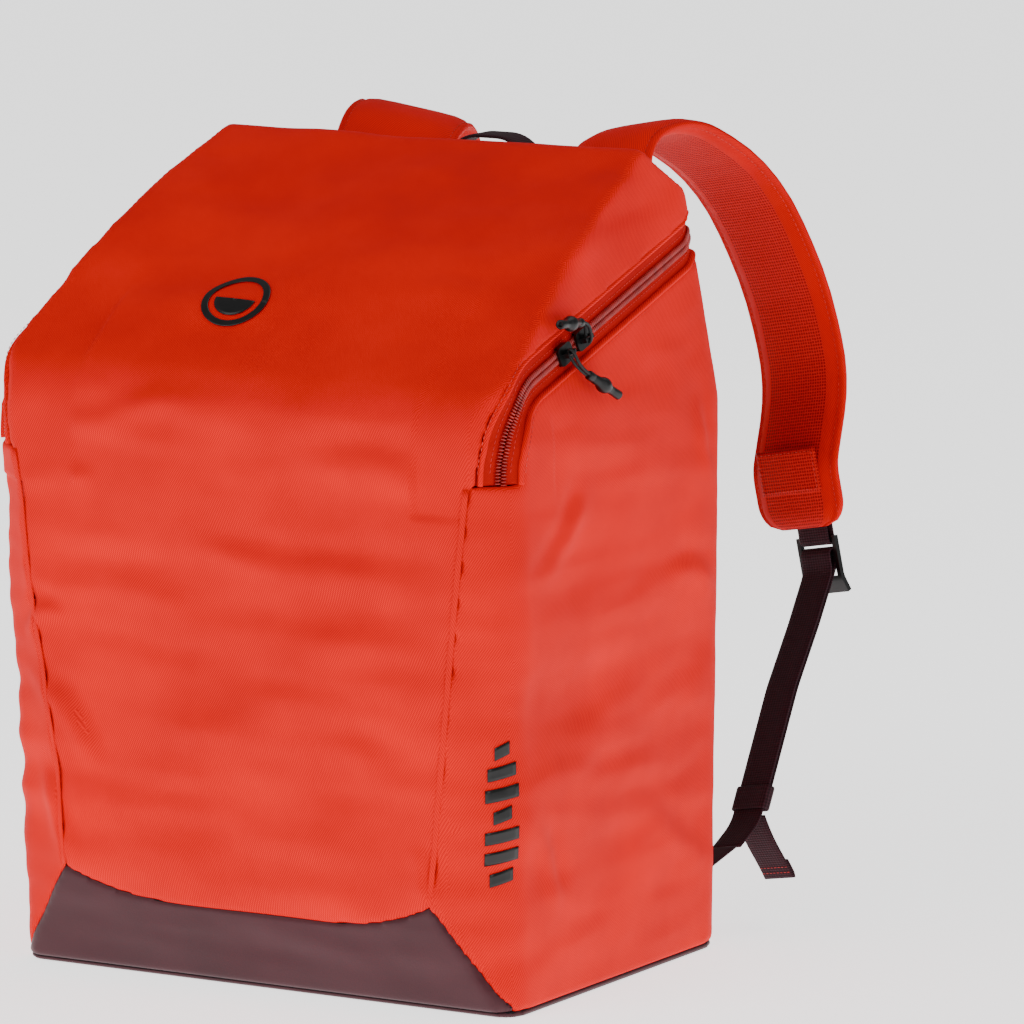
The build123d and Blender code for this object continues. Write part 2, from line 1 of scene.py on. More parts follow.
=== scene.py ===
# %% [markdown]
# # A ski boot backpack
# The model of solids comes first and stays where it is. Every piece made below is placed by it, in metres, so each
# one moves with the right body when the lid opens, a strap swings or a zip slider runs.

# %% Load the frame and its joints
import json
import math

import bmesh
import bpy
import numpy as np
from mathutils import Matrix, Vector, noise
from mathutils.bvhtree import BVHTree


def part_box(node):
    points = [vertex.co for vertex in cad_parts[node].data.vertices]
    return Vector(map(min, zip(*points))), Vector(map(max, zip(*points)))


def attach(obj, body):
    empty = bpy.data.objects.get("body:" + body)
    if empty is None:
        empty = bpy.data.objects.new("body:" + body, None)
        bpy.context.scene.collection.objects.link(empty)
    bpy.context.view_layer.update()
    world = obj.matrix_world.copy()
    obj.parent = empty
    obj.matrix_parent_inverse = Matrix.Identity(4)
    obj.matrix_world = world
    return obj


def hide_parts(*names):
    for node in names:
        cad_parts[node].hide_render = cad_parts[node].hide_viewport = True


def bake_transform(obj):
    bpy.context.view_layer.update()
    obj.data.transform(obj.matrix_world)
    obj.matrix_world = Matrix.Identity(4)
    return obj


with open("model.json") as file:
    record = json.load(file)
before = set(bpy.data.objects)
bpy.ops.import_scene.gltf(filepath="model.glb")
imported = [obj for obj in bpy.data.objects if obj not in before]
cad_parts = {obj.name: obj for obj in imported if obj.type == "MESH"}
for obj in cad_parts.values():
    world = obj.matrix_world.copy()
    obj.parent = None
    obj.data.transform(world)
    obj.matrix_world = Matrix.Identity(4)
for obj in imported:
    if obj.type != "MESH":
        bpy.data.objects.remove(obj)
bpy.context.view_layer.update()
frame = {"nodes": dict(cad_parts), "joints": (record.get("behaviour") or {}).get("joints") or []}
joints = {joint["name"]: joint for joint in frame["joints"]}
MM = 0.001

# %% [markdown]
# ## Camera, floor and light
# A long lens a few metres away keeps the bag's upright edges nearly parallel. The floor is a plain pale sheet that
# is also the backdrop and glows a little. Three large soft lights stand in for a photographer's tent: the key from
# the front left, a weaker fill from the right and one from above.

# %% Camera
CAMERA_AZIMUTH, CAMERA_ELEVATION = math.radians(30.45), math.radians(9.15)
CAMERA_DISTANCE = 5.0
LENS_MM = 298.8
AIM_SIDEWAYS, AIM_HEIGHT = 0.0858, 0.2647


def from_view(azimuth, elevation, distance):
    """A point at a distance from the origin, as seen round from the front."""
    flat = math.cos(elevation) * distance
    return Vector((math.sin(azimuth) * flat, -math.cos(azimuth) * flat, math.sin(elevation) * distance))


aim = Vector((math.cos(CAMERA_AZIMUTH) * AIM_SIDEWAYS, math.sin(CAMERA_AZIMUTH) * AIM_SIDEWAYS, AIM_HEIGHT))
lens = bpy.data.cameras.new("camera")
lens.lens = LENS_MM
lens.sensor_width = 36
lens.clip_end = 50
camera = bpy.data.objects.new("camera", lens)
bpy.context.scene.collection.objects.link(camera)
camera.location = aim + from_view(CAMERA_AZIMUTH, CAMERA_ELEVATION, CAMERA_DISTANCE)
camera.rotation_euler = (aim - camera.location).to_track_quat("-Z", "Y").to_euler()
bpy.context.scene.camera = camera
print("camera at", [round(v, 3) for v in camera.location])


# %% Soft lights
def soft_light(name, azimuth, elevation, distance, size, watts):
    """A square area light that looks at the bag."""
    data = bpy.data.lights.new(name, "AREA")
    data.energy = watts
    data.size = size
    light = bpy.data.objects.new(name, data)
    bpy.context.scene.collection.objects.link(light)
    light.location = Vector((0, 0, 0.25)) + from_view(math.radians(azimuth), math.radians(elevation), distance)
    light.rotation_euler = (Vector((0, 0, 0.25)) - light.location).to_track_quat("-Z", "Y").to_euler()
    return light


soft_light("key", -20, 34, 2.6, 1.7, 25)
soft_light("fill", 80, 20, 2.8, 1.9, 14)
soft_light("top", 150, 68, 2.4, 1.6, 10)
world = bpy.data.worlds.new("studio")
bpy.context.scene.world = world
world.use_nodes = True
world.node_tree.nodes["Background"].inputs["Color"].default_value = (1, 1, 1, 1)
world.node_tree.nodes["Background"].inputs["Strength"].default_value = 0.28


# %% [markdown]
# ## Helpers for colour, nodes and meshes
# Colours are written as the hex values that a designer would give and are turned to linear light in one place. A
# material is a handful of nodes, so one small function adds a node with its settings and its links.

# %% Colour and nodes
def linear(code):
    """An sRGB hex value as linear RGBA."""
    parts = [int(code[i : i + 2], 16) / 255 for i in (0, 2, 4)]
    return tuple(c / 12.92 if c <= 0.04045 else ((c + 0.055) / 1.055) ** 2.4 for c in parts) + (1.0,)


def add(tree, kind, inputs=None, **settings):
    """A node with its settings; each input is a value or the socket that it is linked from."""
    node = tree.nodes.new(kind)
    for key, value in settings.items():
        setattr(node, key, value)
    for key, value in (inputs or {}).items():
        if isinstance(value, bpy.types.NodeSocket):
            tree.links.new(value, node.inputs[key])
        else:
            node.inputs[key].default_value = value
    return node


def colour_between(tree, shader, value, dark, light, low=0.0, high=1.0):
    """Colours the shader from one hex value to the other as a socket runs from low to high."""
    ramp = add(tree, "ShaderNodeValToRGB", {"Fac": value})
    for element, position, code in zip(ramp.color_ramp.elements, (low, high), (dark, light)):
        element.position = position
        element.color = linear(code)
    tree.links.new(ramp.outputs["Color"], shader.inputs["Base Color"])


def raise_surface(tree, shader, height, strength, distance):
    """Bumps the shader's surface by a socket, distance in metres."""
    bump = add(tree, "ShaderNodeBump", {"Height": height, "Strength": strength, "Distance": distance})
    tree.links.new(bump.outputs["Normal"], shader.inputs["Normal"])


def finish_material(name, roughness, **sockets):
    """A new material whose one shader has its plain values set on its own sockets."""
    material = bpy.data.materials.new(name)
    material.use_nodes = True
    tree = material.node_tree
    shader = tree.nodes["Principled BSDF"]
    shader.inputs["Roughness"].default_value = roughness
    for key, value in sockets.items():
        shader.inputs[key.replace("_", " ")].default_value = value
    return material, tree, shader


# %% [markdown]
# ## Fabrics
# The shell is a 600 denier polyester twill: yarns of about 0.6 mm that step sideways by one at each pick, which the
# eye reads as fine diagonal lines. The guard and base are a smooth coated tarpaulin, the straps' insides and the back
# pads an open spacer mesh, and the webbing a ribbed polypropylene. Each pattern follows a map in metres that the
# piece carries, so its scale is that of the real cloth.

# %% Woven cloth
def twill(name, dark, light, pitch, roughness, depth, cross=0.5):
    """Diagonal yarns over a weaker crossing set; pitch is the distance between diagonals in metres."""
    material, tree, shader = finish_material(name, roughness, Specular_IOR_Level=0.08, Sheen_Weight=0.02)
    shader.inputs["Sheen Roughness"].default_value = 0.4
    place = add(tree, "ShaderNodeUVMap", uv_map="cloth")
    turned = [
        add(tree, "ShaderNodeMapping", {"Vector": place.outputs["UV"], "Rotation": (0, 0, math.radians(angle))})
        for angle in (32, -58)
    ]
    # a wave texture makes one band in every 2 pi / 20 of its scaled input, so this scale gives the pitch in metres
    waves = [
        add(
            tree,
            "ShaderNodeTexWave",
            {
                "Vector": turn.outputs["Vector"], "Scale": math.pi / (10 * step),
                "Distortion": 0.6, "Detail": 1.0, "Detail Scale": 1.5,
            },
        )
        for turn, step in zip(turned, (pitch, pitch * 0.62))
    ]
    yarns = add(
        tree, "ShaderNodeMix", {"Factor": cross, "A": waves[0].outputs["Fac"], "B": waves[1].outputs["Fac"]},
        data_type="FLOAT",
    )
    spot = add(tree, "ShaderNodeTexCoord")
    clouds = add(tree, "ShaderNodeTexNoise", {"Vector": spot.outputs["Object"], "Scale": 14.0, "Detail": 3.0})
    shade = add(tree, "ShaderNodeMath", {0: yarns.outputs["Result"], 1: 0.62}, operation="MULTIPLY")
    shade = add(
        tree, "ShaderNodeMath", {0: clouds.outputs["Fac"], 1: 0.5, 2: shade.outputs["Value"]}, operation="MULTIPLY_ADD"
    )
    colour_between(tree, shader, shade.outputs["Value"], dark, light, 0.2, 0.85)
    raise_surface(tree, shader, yarns.outputs["Result"], 0.5, depth)
    return material


# drawn at twice the real yarn so that the diagonals still show at this distance
SHELL = twill("polyester_twill_red", "b80000", "ff0602", 0.0013, 0.62, 0.0003)
HEM = twill("polyester_binding_red", "b00000", "f00402", 0.0011, 0.6, 0.0002)
TAPE = twill("zip_tape_red", "980302", "cc0c08", 0.0008, 0.66, 0.00015, 0.3)
LINING = twill("taffeta_lining_charcoal", "1d1c1f", "2d2b2f", 0.0008, 0.7, 0.0001)
print("cloth", [m.name for m in (SHELL, HEM, TAPE, LINING)])


# %% Coated tarpaulin
def tarpaulin(name, dark, light, roughness):
    """A smooth coated cloth: only broad unevenness and a fine leather-like grain."""
    material, tree, shader = finish_material(name, roughness, Specular_IOR_Level=0.3)
    spot = add(tree, "ShaderNodeTexCoord")
    clouds = add(tree, "ShaderNodeTexNoise", {"Vector": spot.outputs["Object"], "Scale": 18.0, "Detail": 4.0})
    colour_between(tree, shader, clouds.outputs["Fac"], dark, light, 0.3, 0.72)
    grain = add(tree, "ShaderNodeTexNoise", {"Vector": spot.outputs["Object"], "Scale": 900.0, "Detail": 2.0})
    raise_surface(tree, shader, grain.outputs["Fac"], 0.25, 0.0004)
    return material


GUARD = tarpaulin("coated_tarpaulin_maroon", "3c131b", "481922", 0.48)


# %% Webbing and mesh
def webbing(name, dark, light, pitch):
    """Ribs across the webbing, every pitch metres along it, mixed with lines along it, 1.3 pitches apart."""
    material, tree, shader = finish_material(name, 0.72, Specular_IOR_Level=0.15, Sheen_Weight=0.03)
    place = add(tree, "ShaderNodeUVMap", uv_map="cloth")
    ribs = add(
        tree, "ShaderNodeTexWave",
        {"Vector": place.outputs["UV"], "Scale": math.pi / (10 * pitch), "Distortion": 0.4, "Detail": 1.0},
        bands_direction="Y",
    )
    ends = add(
        tree, "ShaderNodeTexWave",
        {"Vector": place.outputs["UV"], "Scale": math.pi / (10 * pitch * 1.3), "Distortion": 0.5, "Detail": 1.0},
        bands_direction="X",
    )
    height = add(
        tree, "ShaderNodeMix", {"Factor": 0.4, "A": ribs.outputs["Fac"], "B": ends.outputs["Fac"]}, data_type="FLOAT"
    )
    colour_between(tree, shader, height.outputs["Result"], dark, light)
    raise_surface(tree, shader, height.outputs["Result"], 0.7, 0.0004)
    return material


def spacer_mesh(name, dark, light, cell):
    """An open knit: a grid of small pits, every cell metres."""
    material, tree, shader = finish_material(name, 0.8, Specular_IOR_Level=0.15, Sheen_Weight=0.03)
    place = add(tree, "ShaderNodeUVMap", uv_map="cloth")
    pits = add(
        tree, "ShaderNodeTexVoronoi", {"Vector": place.outputs["UV"], "Scale": 1 / cell, "Randomness": 0.12},
        voronoi_dimensions="2D",
    )
    colour_between(tree, shader, pits.outputs["Distance"], dark, light, 0.18, 0.42)
    raise_surface(tree, shader, pits.outputs["Distance"], 0.8, 0.0005)
    return material


WEBBING = webbing("polypropylene_webbing_maroon", "1c0a0e", "40202a", 0.0016)
STRAP_MESH = spacer_mesh("spacer_mesh_dark_red", "7a0505", "d40f0c", 0.0020)
BACK_MESH = spacer_mesh("spacer_mesh_maroon", "2a1014", "5d2a32", 0.0026)


# %% [markdown]
# ## Plastics, metal, cord and thread
# The grips and ladder locks are moulded black acetal, a little glossy with a faint moulded grain. The sliders are
# die-cast zinc under black enamel. The zip's coil is a red nylon monofilament, glossy enough to catch a pale line of
# light on each turn. The print on the cloth is a smooth black film.

# %% Hard finishes
def moulded(name, dark, light, roughness, grain_mm, bump_depth, **sockets):
    """A moulded or enamelled surface with a faint grain and slow changes of tone."""
    material, tree, shader = finish_material(name, roughness, **sockets)
    spot = add(tree, "ShaderNodeTexCoord")
    tone = add(tree, "ShaderNodeTexNoise", {"Vector": spot.outputs["Object"], "Scale": 120.0, "Detail": 2.0})
    colour_between(tree, shader, tone.outputs["Fac"], dark, light, 0.3, 0.7)
    grain = add(
        tree, "ShaderNodeTexNoise", {"Vector": spot.outputs["Object"], "Scale": 1000 / grain_mm, "Detail": 1.0}
    )
    raise_surface(tree, shader, grain.outputs["Fac"], 0.2, bump_depth)
    return material


ACETAL = moulded("acetal_black", "050506", "0d0d0e", 0.36, 0.4, 0.0001, Specular_IOR_Level=0.35)
ENAMEL = moulded("enamelled_zinc_black", "050505", "0c0c0d", 0.28, 0.6, 0.0001, Specular_IOR_Level=0.4)
COIL = moulded("nylon_coil_red", "8a0a08", "b01c18", 0.3, 0.5, 0.00005, Specular_IOR_Level=0.6)
PRINT = moulded("film_print_black", "060606", "0e0e0e", 0.34, 1.2, 0.0001, Specular_IOR_Level=0.4)
BOARD = moulded("polypropylene_board_black", "101011", "19191b", 0.5, 0.8, 0.0002)
THREAD_RED = moulded("polyester_thread_red", "b51410", "e0302a", 0.55, 0.3, 0.0001)
THREAD_MAROON = moulded("polyester_thread_maroon", "3a171d", "56262e", 0.6, 0.3, 0.0001)
CORD = moulded("braided_cord_black", "040405", "101011", 0.62, 0.9, 0.0005)
FLOOR = moulded(
    "studio_floor_white", "f4f4f4", "f7f7f7", 0.8, 5.0, 0.0001, Emission_Color=(1, 1, 1, 1), Emission_Strength=1.6
)
print("materials", len(bpy.data.materials))


# %% [markdown]
# ## Making meshes
# Most of the bag is flat cloth that follows a line: tape, webbing, straps, binding. Each is a cross-section swept
# along a path, with a map in metres so that its weave runs along it. The shell's panels start from the frame's own
# solids, remeshed evenly so that they can wrinkle.

# %% Mesh from arrays
def new_piece(name, verts, faces, materials, face_material=None, uv=None):
    """A smooth-shaded object at the origin; uv is one pair per face corner, in metres."""
    mesh = bpy.data.meshes.new(name)
    mesh.from_pydata([tuple(v) for v in verts], [], faces)
    for material in materials:
        mesh.materials.append(material)
    if face_material is not None:
        mesh.polygons.foreach_set("material_index", np.asarray(face_material, np.int32))
    if uv is not None:
        layer = mesh.uv_layers.new(name="cloth")
        layer.data.foreach_set("uv", np.asarray(uv, np.float32).ravel())
    mesh.polygons.foreach_set("use_smooth", np.ones(len(mesh.polygons), bool))
    mesh.update()
    obj = bpy.data.objects.new(name, mesh)
    bpy.context.scene.collection.objects.link(obj)
    return obj


def work_in(obj):
    """Works an object's modifiers into its mesh and leaves none on it."""
    done = bpy.data.meshes.new_from_object(obj.evaluated_get(bpy.context.evaluated_depsgraph_get()))
    obj.modifiers.clear()
    obj.data = done


def recalculate(obj):
    """Turns every face of a closed mesh outwards."""
    work = bmesh.new()
    work.from_mesh(obj.data)
    bmesh.ops.recalc_face_normals(work, faces=work.faces)
    work.to_mesh(obj.data)
    work.free()


def unit(v):
    """The rows of v at length one."""
    v = np.asarray(v, float)
    return v / np.maximum(np.linalg.norm(v, axis=-1, keepdims=True), 1e-12)


def tangents(points, closed=False):
    """Direction of travel at each point of a path."""
    points = np.asarray(points, float)
    if closed:
        return unit(np.roll(points, -1, 0) - np.roll(points, 1, 0))
    return unit(np.gradient(points, axis=0))


def along(points):
    """Distance travelled at each point of a path."""
    return np.concatenate([[0], np.cumsum(np.linalg.norm(np.diff(points, axis=0), axis=1))])


def resample(points, step, *others):
    """The path, and any rows that go with it, at even steps."""
    points = np.asarray(points, float)
    s = along(points)
    count = max(2, int(round(s[-1] / step)) + 1)
    t = np.linspace(0, s[-1], count)
    rows = [np.stack([np.interp(t, s, np.asarray(r, float)[:, k]) for k in range(3)], 1) for r in (points, *others)]
    return rows if others else rows[0]


def sweep(name, path, across, outline, materials, pick=None, closed=False):
    """A cross-section carried along a path. outline(i, s, total) gives its points as (across, out of the face);
    pick(k) gives the material of the k-th side. Ends are closed with a fan."""
    path = np.asarray(path, float)
    across = unit(np.broadcast_to(np.asarray(across, float), path.shape))
    run = tangents(path, closed)
    out = unit(np.cross(across, run))
    s = along(path)
    rings = [np.asarray(outline(i, s[i], s[-1]), float) for i in range(len(path))]
    k = len(rings[0])
    verts = np.concatenate([path[i] + r[:, :1] * across[i] + r[:, 1:] * out[i] for i, r in enumerate(rings)])
    girth = along(np.vstack([rings[len(rings) // 2], rings[len(rings) // 2][:1]]))
    faces, uv, mats = [], [], []
    count = len(path)
    total = s[-1] + (np.linalg.norm(path[0] - path[-1]) if closed else 0)
    for i in range(count if closed else count - 1):
        j = (i + 1) % count
        s_j = s[j] if j else total
        for a in range(k):
            b = (a + 1) % k
            faces.append((i * k + a, j * k + a, j * k + b, i * k + b))
            g0, g1 = girth[a], girth[a + 1]
            uv += [(g0, s[i]), (g0, s_j), (g1, s_j), (g1, s[i])]
            mats.append(pick(a) if pick else 0)
    if not closed:
        for i, flip in ((0, False), (count - 1, True)):
            centre = len(verts)
            verts = np.vstack([verts, path[i] + rings[i].mean(0)[0] * across[i] + rings[i].mean(0)[1] * out[i]])
            for a in range(k):
                b = (a + 1) % k
                faces.append((centre, i * k + a, i * k + b) if not flip else (centre, i * k + b, i * k + a))
                uv += [(0, s[i]), (0.001, s[i]), (0.001, s[i] + 0.001)]
                mats.append(pick(a) if pick else 0)
    return new_piece(name, verts, faces, materials, mats, uv)


def flat_outline(width, thickness, edge=0.35):
    """A flat strip's section with softened edges, as a function for sweep."""
    w, t = width / 2, thickness / 2
    e = min(t * 2, width / 4) * edge * 2
    ring = [(-w, -t * 0.4), (-w + e, -t), (-w / 2, -t), (0, -t), (w / 2, -t), (w - e, -t), (w, -t * 0.4)]
    ring = ring + [(w, t * 0.4), (w - e, t), (w / 2, t), (0, t), (-w / 2, t), (-w + e, t), (-w, t * 0.4)]
    return lambda i, s, total: ring


def rounded_line(points, radii, step=1.5):
    """A flat route with an arc at each inner corner, as points every few millimetres."""
    points = [Vector(p) for p in points]
    out = [points[0]]
    for i in range(1, len(points) - 1):
        before, corner, after = points[i - 1], points[i], points[i + 1]
        a, b = (before - corner).normalized(), (after - corner).normalized()
        angle = a.angle(b)
        cut = radii[i - 1] / math.tan(angle / 2)
        start, end = corner + a * cut, corner + b * cut
        centre = corner + (a + b).normalized() * (radii[i - 1] / math.sin(angle / 2))
        turn = math.pi - angle
        steps = max(3, int(turn / 0.12))
        u, v = (start - centre), (end - centre)
        for k in range(steps + 1):
            w = k / steps
            p = centre + (u * math.sin((1 - w) * turn) + v * math.sin(w * turn)) / math.sin(turn)
            out.append(p)
    out.append(points[-1])
    flat = np.array([(p.x, p.y, 0) for p in out])
    keep = np.concatenate([[True], np.linalg.norm(np.diff(flat, axis=0), axis=1) > 1e-4])
    return resample(flat[keep], step)[:, :2]


# %% Remeshed cloth from the frame's solids
def sounding(nodes):
    """A tree to cast rays at, from the frame's own solids."""
    verts, faces = [], []
    for node in nodes:
        mesh = frame["nodes"][node].data
        start = len(verts)
        verts += [v.co.copy() for v in mesh.vertices]
        faces += [[start + i for i in p.vertices] for p in mesh.polygons]
    return BVHTree.FromPolygons(verts, faces)


def cloth_tree(obj):
    """A tree to cast rays at, from a finished panel."""
    return BVHTree.FromPolygons([v.co.copy() for v in obj.data.vertices], [list(p.vertices) for p in obj.data.polygons])


def solid_cloth(name, nodes, voxel, swell, smoothing=3):
    """The named solids as one closed cloth of even small faces, a little fuller than they are."""
    both = bmesh.new()
    for node in nodes:
        both.from_mesh(frame["nodes"][node].data)
    bmesh.ops.remove_doubles(both, verts=both.verts, dist=1e-5)
    mesh = bpy.data.meshes.new(name)
    both.to_mesh(mesh)
    both.free()
    mesh.materials.clear()
    obj = bpy.data.objects.new(name, mesh)
    bpy.context.scene.collection.objects.link(obj)
    even = obj.modifiers.new("even", "REMESH")
    even.mode = "VOXEL"
    even.voxel_size = voxel
    soft = obj.modifiers.new("soft", "SMOOTH")
    soft.factor = 0.5
    soft.iterations = smoothing
    work_in(obj)
    obj.data.name = name
    # back onto the solids' own faces, so that slanting edges stay straight
    shape = sounding(nodes)
    set_points(obj, [list(shape.find_nearest(Vector(p))[0]) for p in points_of(obj)])
    soften(obj, 4)
    set_points(obj, points_of(obj) + normals_of(obj) * swell)
    return obj


def points_of(obj):
    """Every vertex, as rows."""
    rows = np.zeros(len(obj.data.vertices) * 3, np.float32)
    obj.data.vertices.foreach_get("co", rows)
    return rows.reshape(-1, 3).astype(float)


def normals_of(obj):
    """Every vertex normal, as rows."""
    rows = np.zeros(len(obj.data.vertices) * 3, np.float32)
    obj.data.vertex_normals.foreach_get("vector", rows)
    return rows.reshape(-1, 3).astype(float)


def set_points(obj, rows):
    """Moves every vertex."""
    obj.data.vertices.foreach_set("co", np.asarray(rows, np.float32).ravel())
    obj.data.update()


def soften(obj, times):
    """Evens a mesh out, each vertex towards the middle of its neighbours."""
    mesh = obj.data
    ends = np.zeros(len(mesh.edges) * 2, np.int32)
    mesh.edges.foreach_get("vertices", ends)
    a, b = ends.reshape(-1, 2).T
    count = np.bincount(ends, minlength=len(mesh.vertices))[:, None]
    rows = points_of(obj)
    for _ in range(times):
        total = np.zeros_like(rows)
        np.add.at(total, a, rows[b])
        np.add.at(total, b, rows[a])
        rows = (rows + total / np.maximum(count, 1)) / 2
    set_points(obj, rows)


def cloth_map(obj):
    """A map in metres for a panel: depth and height on its sides, width and height everywhere else."""
    mesh = obj.data
    layer = mesh.uv_layers.new(name="cloth")
    loops = np.zeros(len(mesh.loops), np.int32)
    mesh.loops.foreach_get("vertex_index", loops)
    co = points_of(obj)[loops]
    nor = np.zeros(len(mesh.polygons) * 3, np.float32)
    mesh.polygons.foreach_get("normal", nor)
    sizes = np.zeros(len(mesh.polygons), np.int32)
    mesh.polygons.foreach_get("loop_total", sizes)
    nor = np.repeat(nor.reshape(-1, 3), sizes, axis=0)
    side = np.abs(nor[:, 0]) > 0.85
    strip = (np.abs(nor[:, 0]) > 0.38) & ~side & (np.abs(nor[:, 2]) < 0.4)
    rear = nor[:, 1] > 0.3
    u = np.where(side, co[:, 1], np.where(strip, 0.757 * np.abs(co[:, 0]) + 0.653 * co[:, 1], co[:, 0]))
    v = np.where(side | rear | strip, co[:, 2], 0.85 * (co[:, 2] + co[:, 1]))
    layer.data.foreach_set("uv", np.stack([u, v], 1).astype(np.float32).ravel())


def dress(obj, outside, inside=None, centre=(0, 0, 0.24)):
    """Sets the outer cloth and, on faces that look inwards, the lining."""
    mesh = obj.data
    mesh.materials.clear()
    mesh.materials.append(outside)
    mesh.polygons.foreach_set("use_smooth", np.ones(len(mesh.polygons), bool))
    if inside is not None:
        mesh.materials.append(inside)
        nor = np.zeros(len(mesh.polygons) * 3, np.float32)
        mid = np.zeros(len(mesh.polygons) * 3, np.float32)
        mesh.polygons.foreach_get("normal", nor)
        mesh.polygons.foreach_get("center", mid)
        facing = ((mid.reshape(-1, 3) - np.array(centre)) * nor.reshape(-1, 3)).sum(1)
        mesh.polygons.foreach_set("material_index", (facing < 0).astype(np.int32))
    cloth_map(obj)
    mesh.update()


# %% [markdown]
# ## Small repeated parts
# Stitches and the zip's teeth are the same job: one small rounded body repeated along a line. Geometry Nodes place
# it at every point of a row, turned by the two directions that each point carries.

# %% The row of small parts
def row_tree():
    """Geometry Nodes that put a rounded body on each point."""
    tree = bpy.data.node_groups.new("row_of_small_parts", "GeometryNodeTree")
    face = tree.interface
    face.new_socket("Geometry", in_out="INPUT", socket_type="NodeSocketGeometry")
    for label in ("Width", "Length", "Height"):
        face.new_socket(label, in_out="INPUT", socket_type="NodeSocketFloat")
    face.new_socket("Material", in_out="INPUT", socket_type="NodeSocketMaterial")
    face.new_socket("Geometry", in_out="OUTPUT", socket_type="NodeSocketGeometry")
    given = add(tree, "NodeGroupInput")
    ball = add(tree, "GeometryNodeMeshUVSphere", {"Segments": 8, "Rings": 5, "Radius": 0.5})
    size = add(
        tree, "ShaderNodeCombineXYZ",
        {"X": given.outputs["Width"], "Y": given.outputs["Length"], "Z": given.outputs["Height"]},
    )
    body = add(tree, "GeometryNodeTransform", {"Geometry": ball.outputs["Mesh"], "Scale": size.outputs["Vector"]})
    run = add(tree, "GeometryNodeInputNamedAttribute", {"Name": "run"}, data_type="FLOAT_VECTOR")
    side = add(tree, "GeometryNodeInputNamedAttribute", {"Name": "side"}, data_type="FLOAT_VECTOR")
    first = add(tree, "FunctionNodeAlignRotationToVector", {"Vector": run.outputs["Attribute"]}, axis="Y")
    turn = add(
        tree, "FunctionNodeAlignRotationToVector",
        {"Rotation": first.outputs["Rotation"], "Vector": side.outputs["Attribute"]},
        axis="X", pivot_axis="Y",
    )
    placed = add(
        tree, "GeometryNodeInstanceOnPoints",
        {
            "Points": given.outputs["Geometry"], "Instance": body.outputs["Geometry"],
            "Rotation": turn.outputs["Rotation"],
        },
    )
    real = add(tree, "GeometryNodeRealizeInstances", {"Geometry": placed.outputs["Instances"]})
    painted = add(
        tree, "GeometryNodeSetMaterial", {"Geometry": real.outputs["Geometry"], "Material": given.outputs["Material"]}
    )
    shaded = add(tree, "GeometryNodeSetShadeSmooth", {"Geometry": painted.outputs["Geometry"]})
    add(tree, "NodeGroupOutput", {"Geometry": shaded.outputs["Geometry"]})
    return tree


ROW = row_tree()


def row_of(name, points, run, side, width, length, height, material):
    """One body on each point; width lies along side, length along run, height out of the cloth."""
    mesh = bpy.data.meshes.new(name + "_points")
    mesh.from_pydata([tuple(p) for p in points], [], [])
    for label, rows in (("run", run), ("side", side)):
        mesh.attributes.new(label, "FLOAT_VECTOR", "POINT").data.foreach_set(
            "vector", np.asarray(rows, np.float32).ravel()
        )
    obj = bpy.data.objects.new(name, mesh)
    bpy.context.scene.collection.objects.link(obj)
    nodes = obj.modifiers.new("row", "NODES")
    nodes.node_group = ROW
    values = {"Width": width, "Length": length, "Height": height, "Material": material}
    for item in ROW.interface.items_tree:
        if item.in_out == "INPUT" and item.name in values:
            nodes[item.identifier] = values[item.name]
    work_in(obj)
    obj.data.name = name
    print(name, len(points), "parts")
    return obj


def stitches(name, lines, pitch, length, thickness, material):
    """Rows of stitches; each line is (points, across), and every stitch lies along it."""
    spots, runs, sides = [], [], []
    for path, across in lines:
        across = np.broadcast_to(np.asarray(across, float), np.shape(path))
        points, cross = resample(path, pitch, across)
        spots.append(points)
        runs.append(tangents(points))
        sides.append(unit(cross))
    return row_of(
        name, np.concatenate(spots), np.concatenate(runs), np.concatenate(sides),
        thickness, length, thickness * 0.8, material,
    )


# %% [markdown]
# ## How the cloth sits
# A full bag isn't flat: the front swells a little, yarns drag into soft, mostly level folds, and seams pucker. One
# rule moves every piece of the shell, so that neighbouring panels still meet. It is quiet beside the zip, where the
# sliders run, and at the base and back, which boards hold flat.

# %% Folds and swell
FRONT_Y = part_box("front_panel")[0].y
FRONT_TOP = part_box("front_panel")[1].z
BACK_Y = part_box("back_panel")[1].y
BELLY_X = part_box("right_side_panel")[1].x
ZIP_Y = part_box("bag_zip_coil")[0].y - 1.2 * MM
ZIP_SLOPE = math.tan(math.radians(15.5))
ZIP_BACK_Z = 427 * MM
LEFT_BULGE = 10.5 * MM

# each soft fold in mm: two ends on the front (x, height), then its width and depth
FOLDS = [
    (-30, 262, 128, 248, 9, 1.7), (-140, 238, -40, 226, 10, 1.6), (20, 205, 130, 214, 12, 1.3),
    (-148, 176, -96, 128, 8, 2.0), (-146, 120, -118, 74, 7, 1.8), (60, 150, 140, 132, 11, 1.2),
    (-60, 160, 40, 168, 14, 1.2), (-120, 330, -30, 345, 9, 1.6), (40, 322, 132, 306, 10, 1.4),
    (-150, 286, -100, 300, 7, 1.8), (110, 96, 128, 70, 6, 1.4), (-20, 96, 80, 104, 13, 1.0),
    (-80, 392, 10, 412, 12, 1.2), (70, 420, 128, 396, 10, 1.4), (-150, 206, -120, 214, 6, 1.6),
]
# and on each side, as (depth, height)
SIDE_FOLDS = [
    (-96, 250, -30, 292, 9, 1.4), (-60, 150, 40, 168, 14, 1.2), (60, 240, 116, 216, 9, 1.5),
    (-100, 110, -60, 60, 8, 1.2), (30, 90, 110, 60, 10, 1.2), (90, 330, 120, 270, 7, 1.4), (-70, 400, 0, 430, 8, 1.0),
]


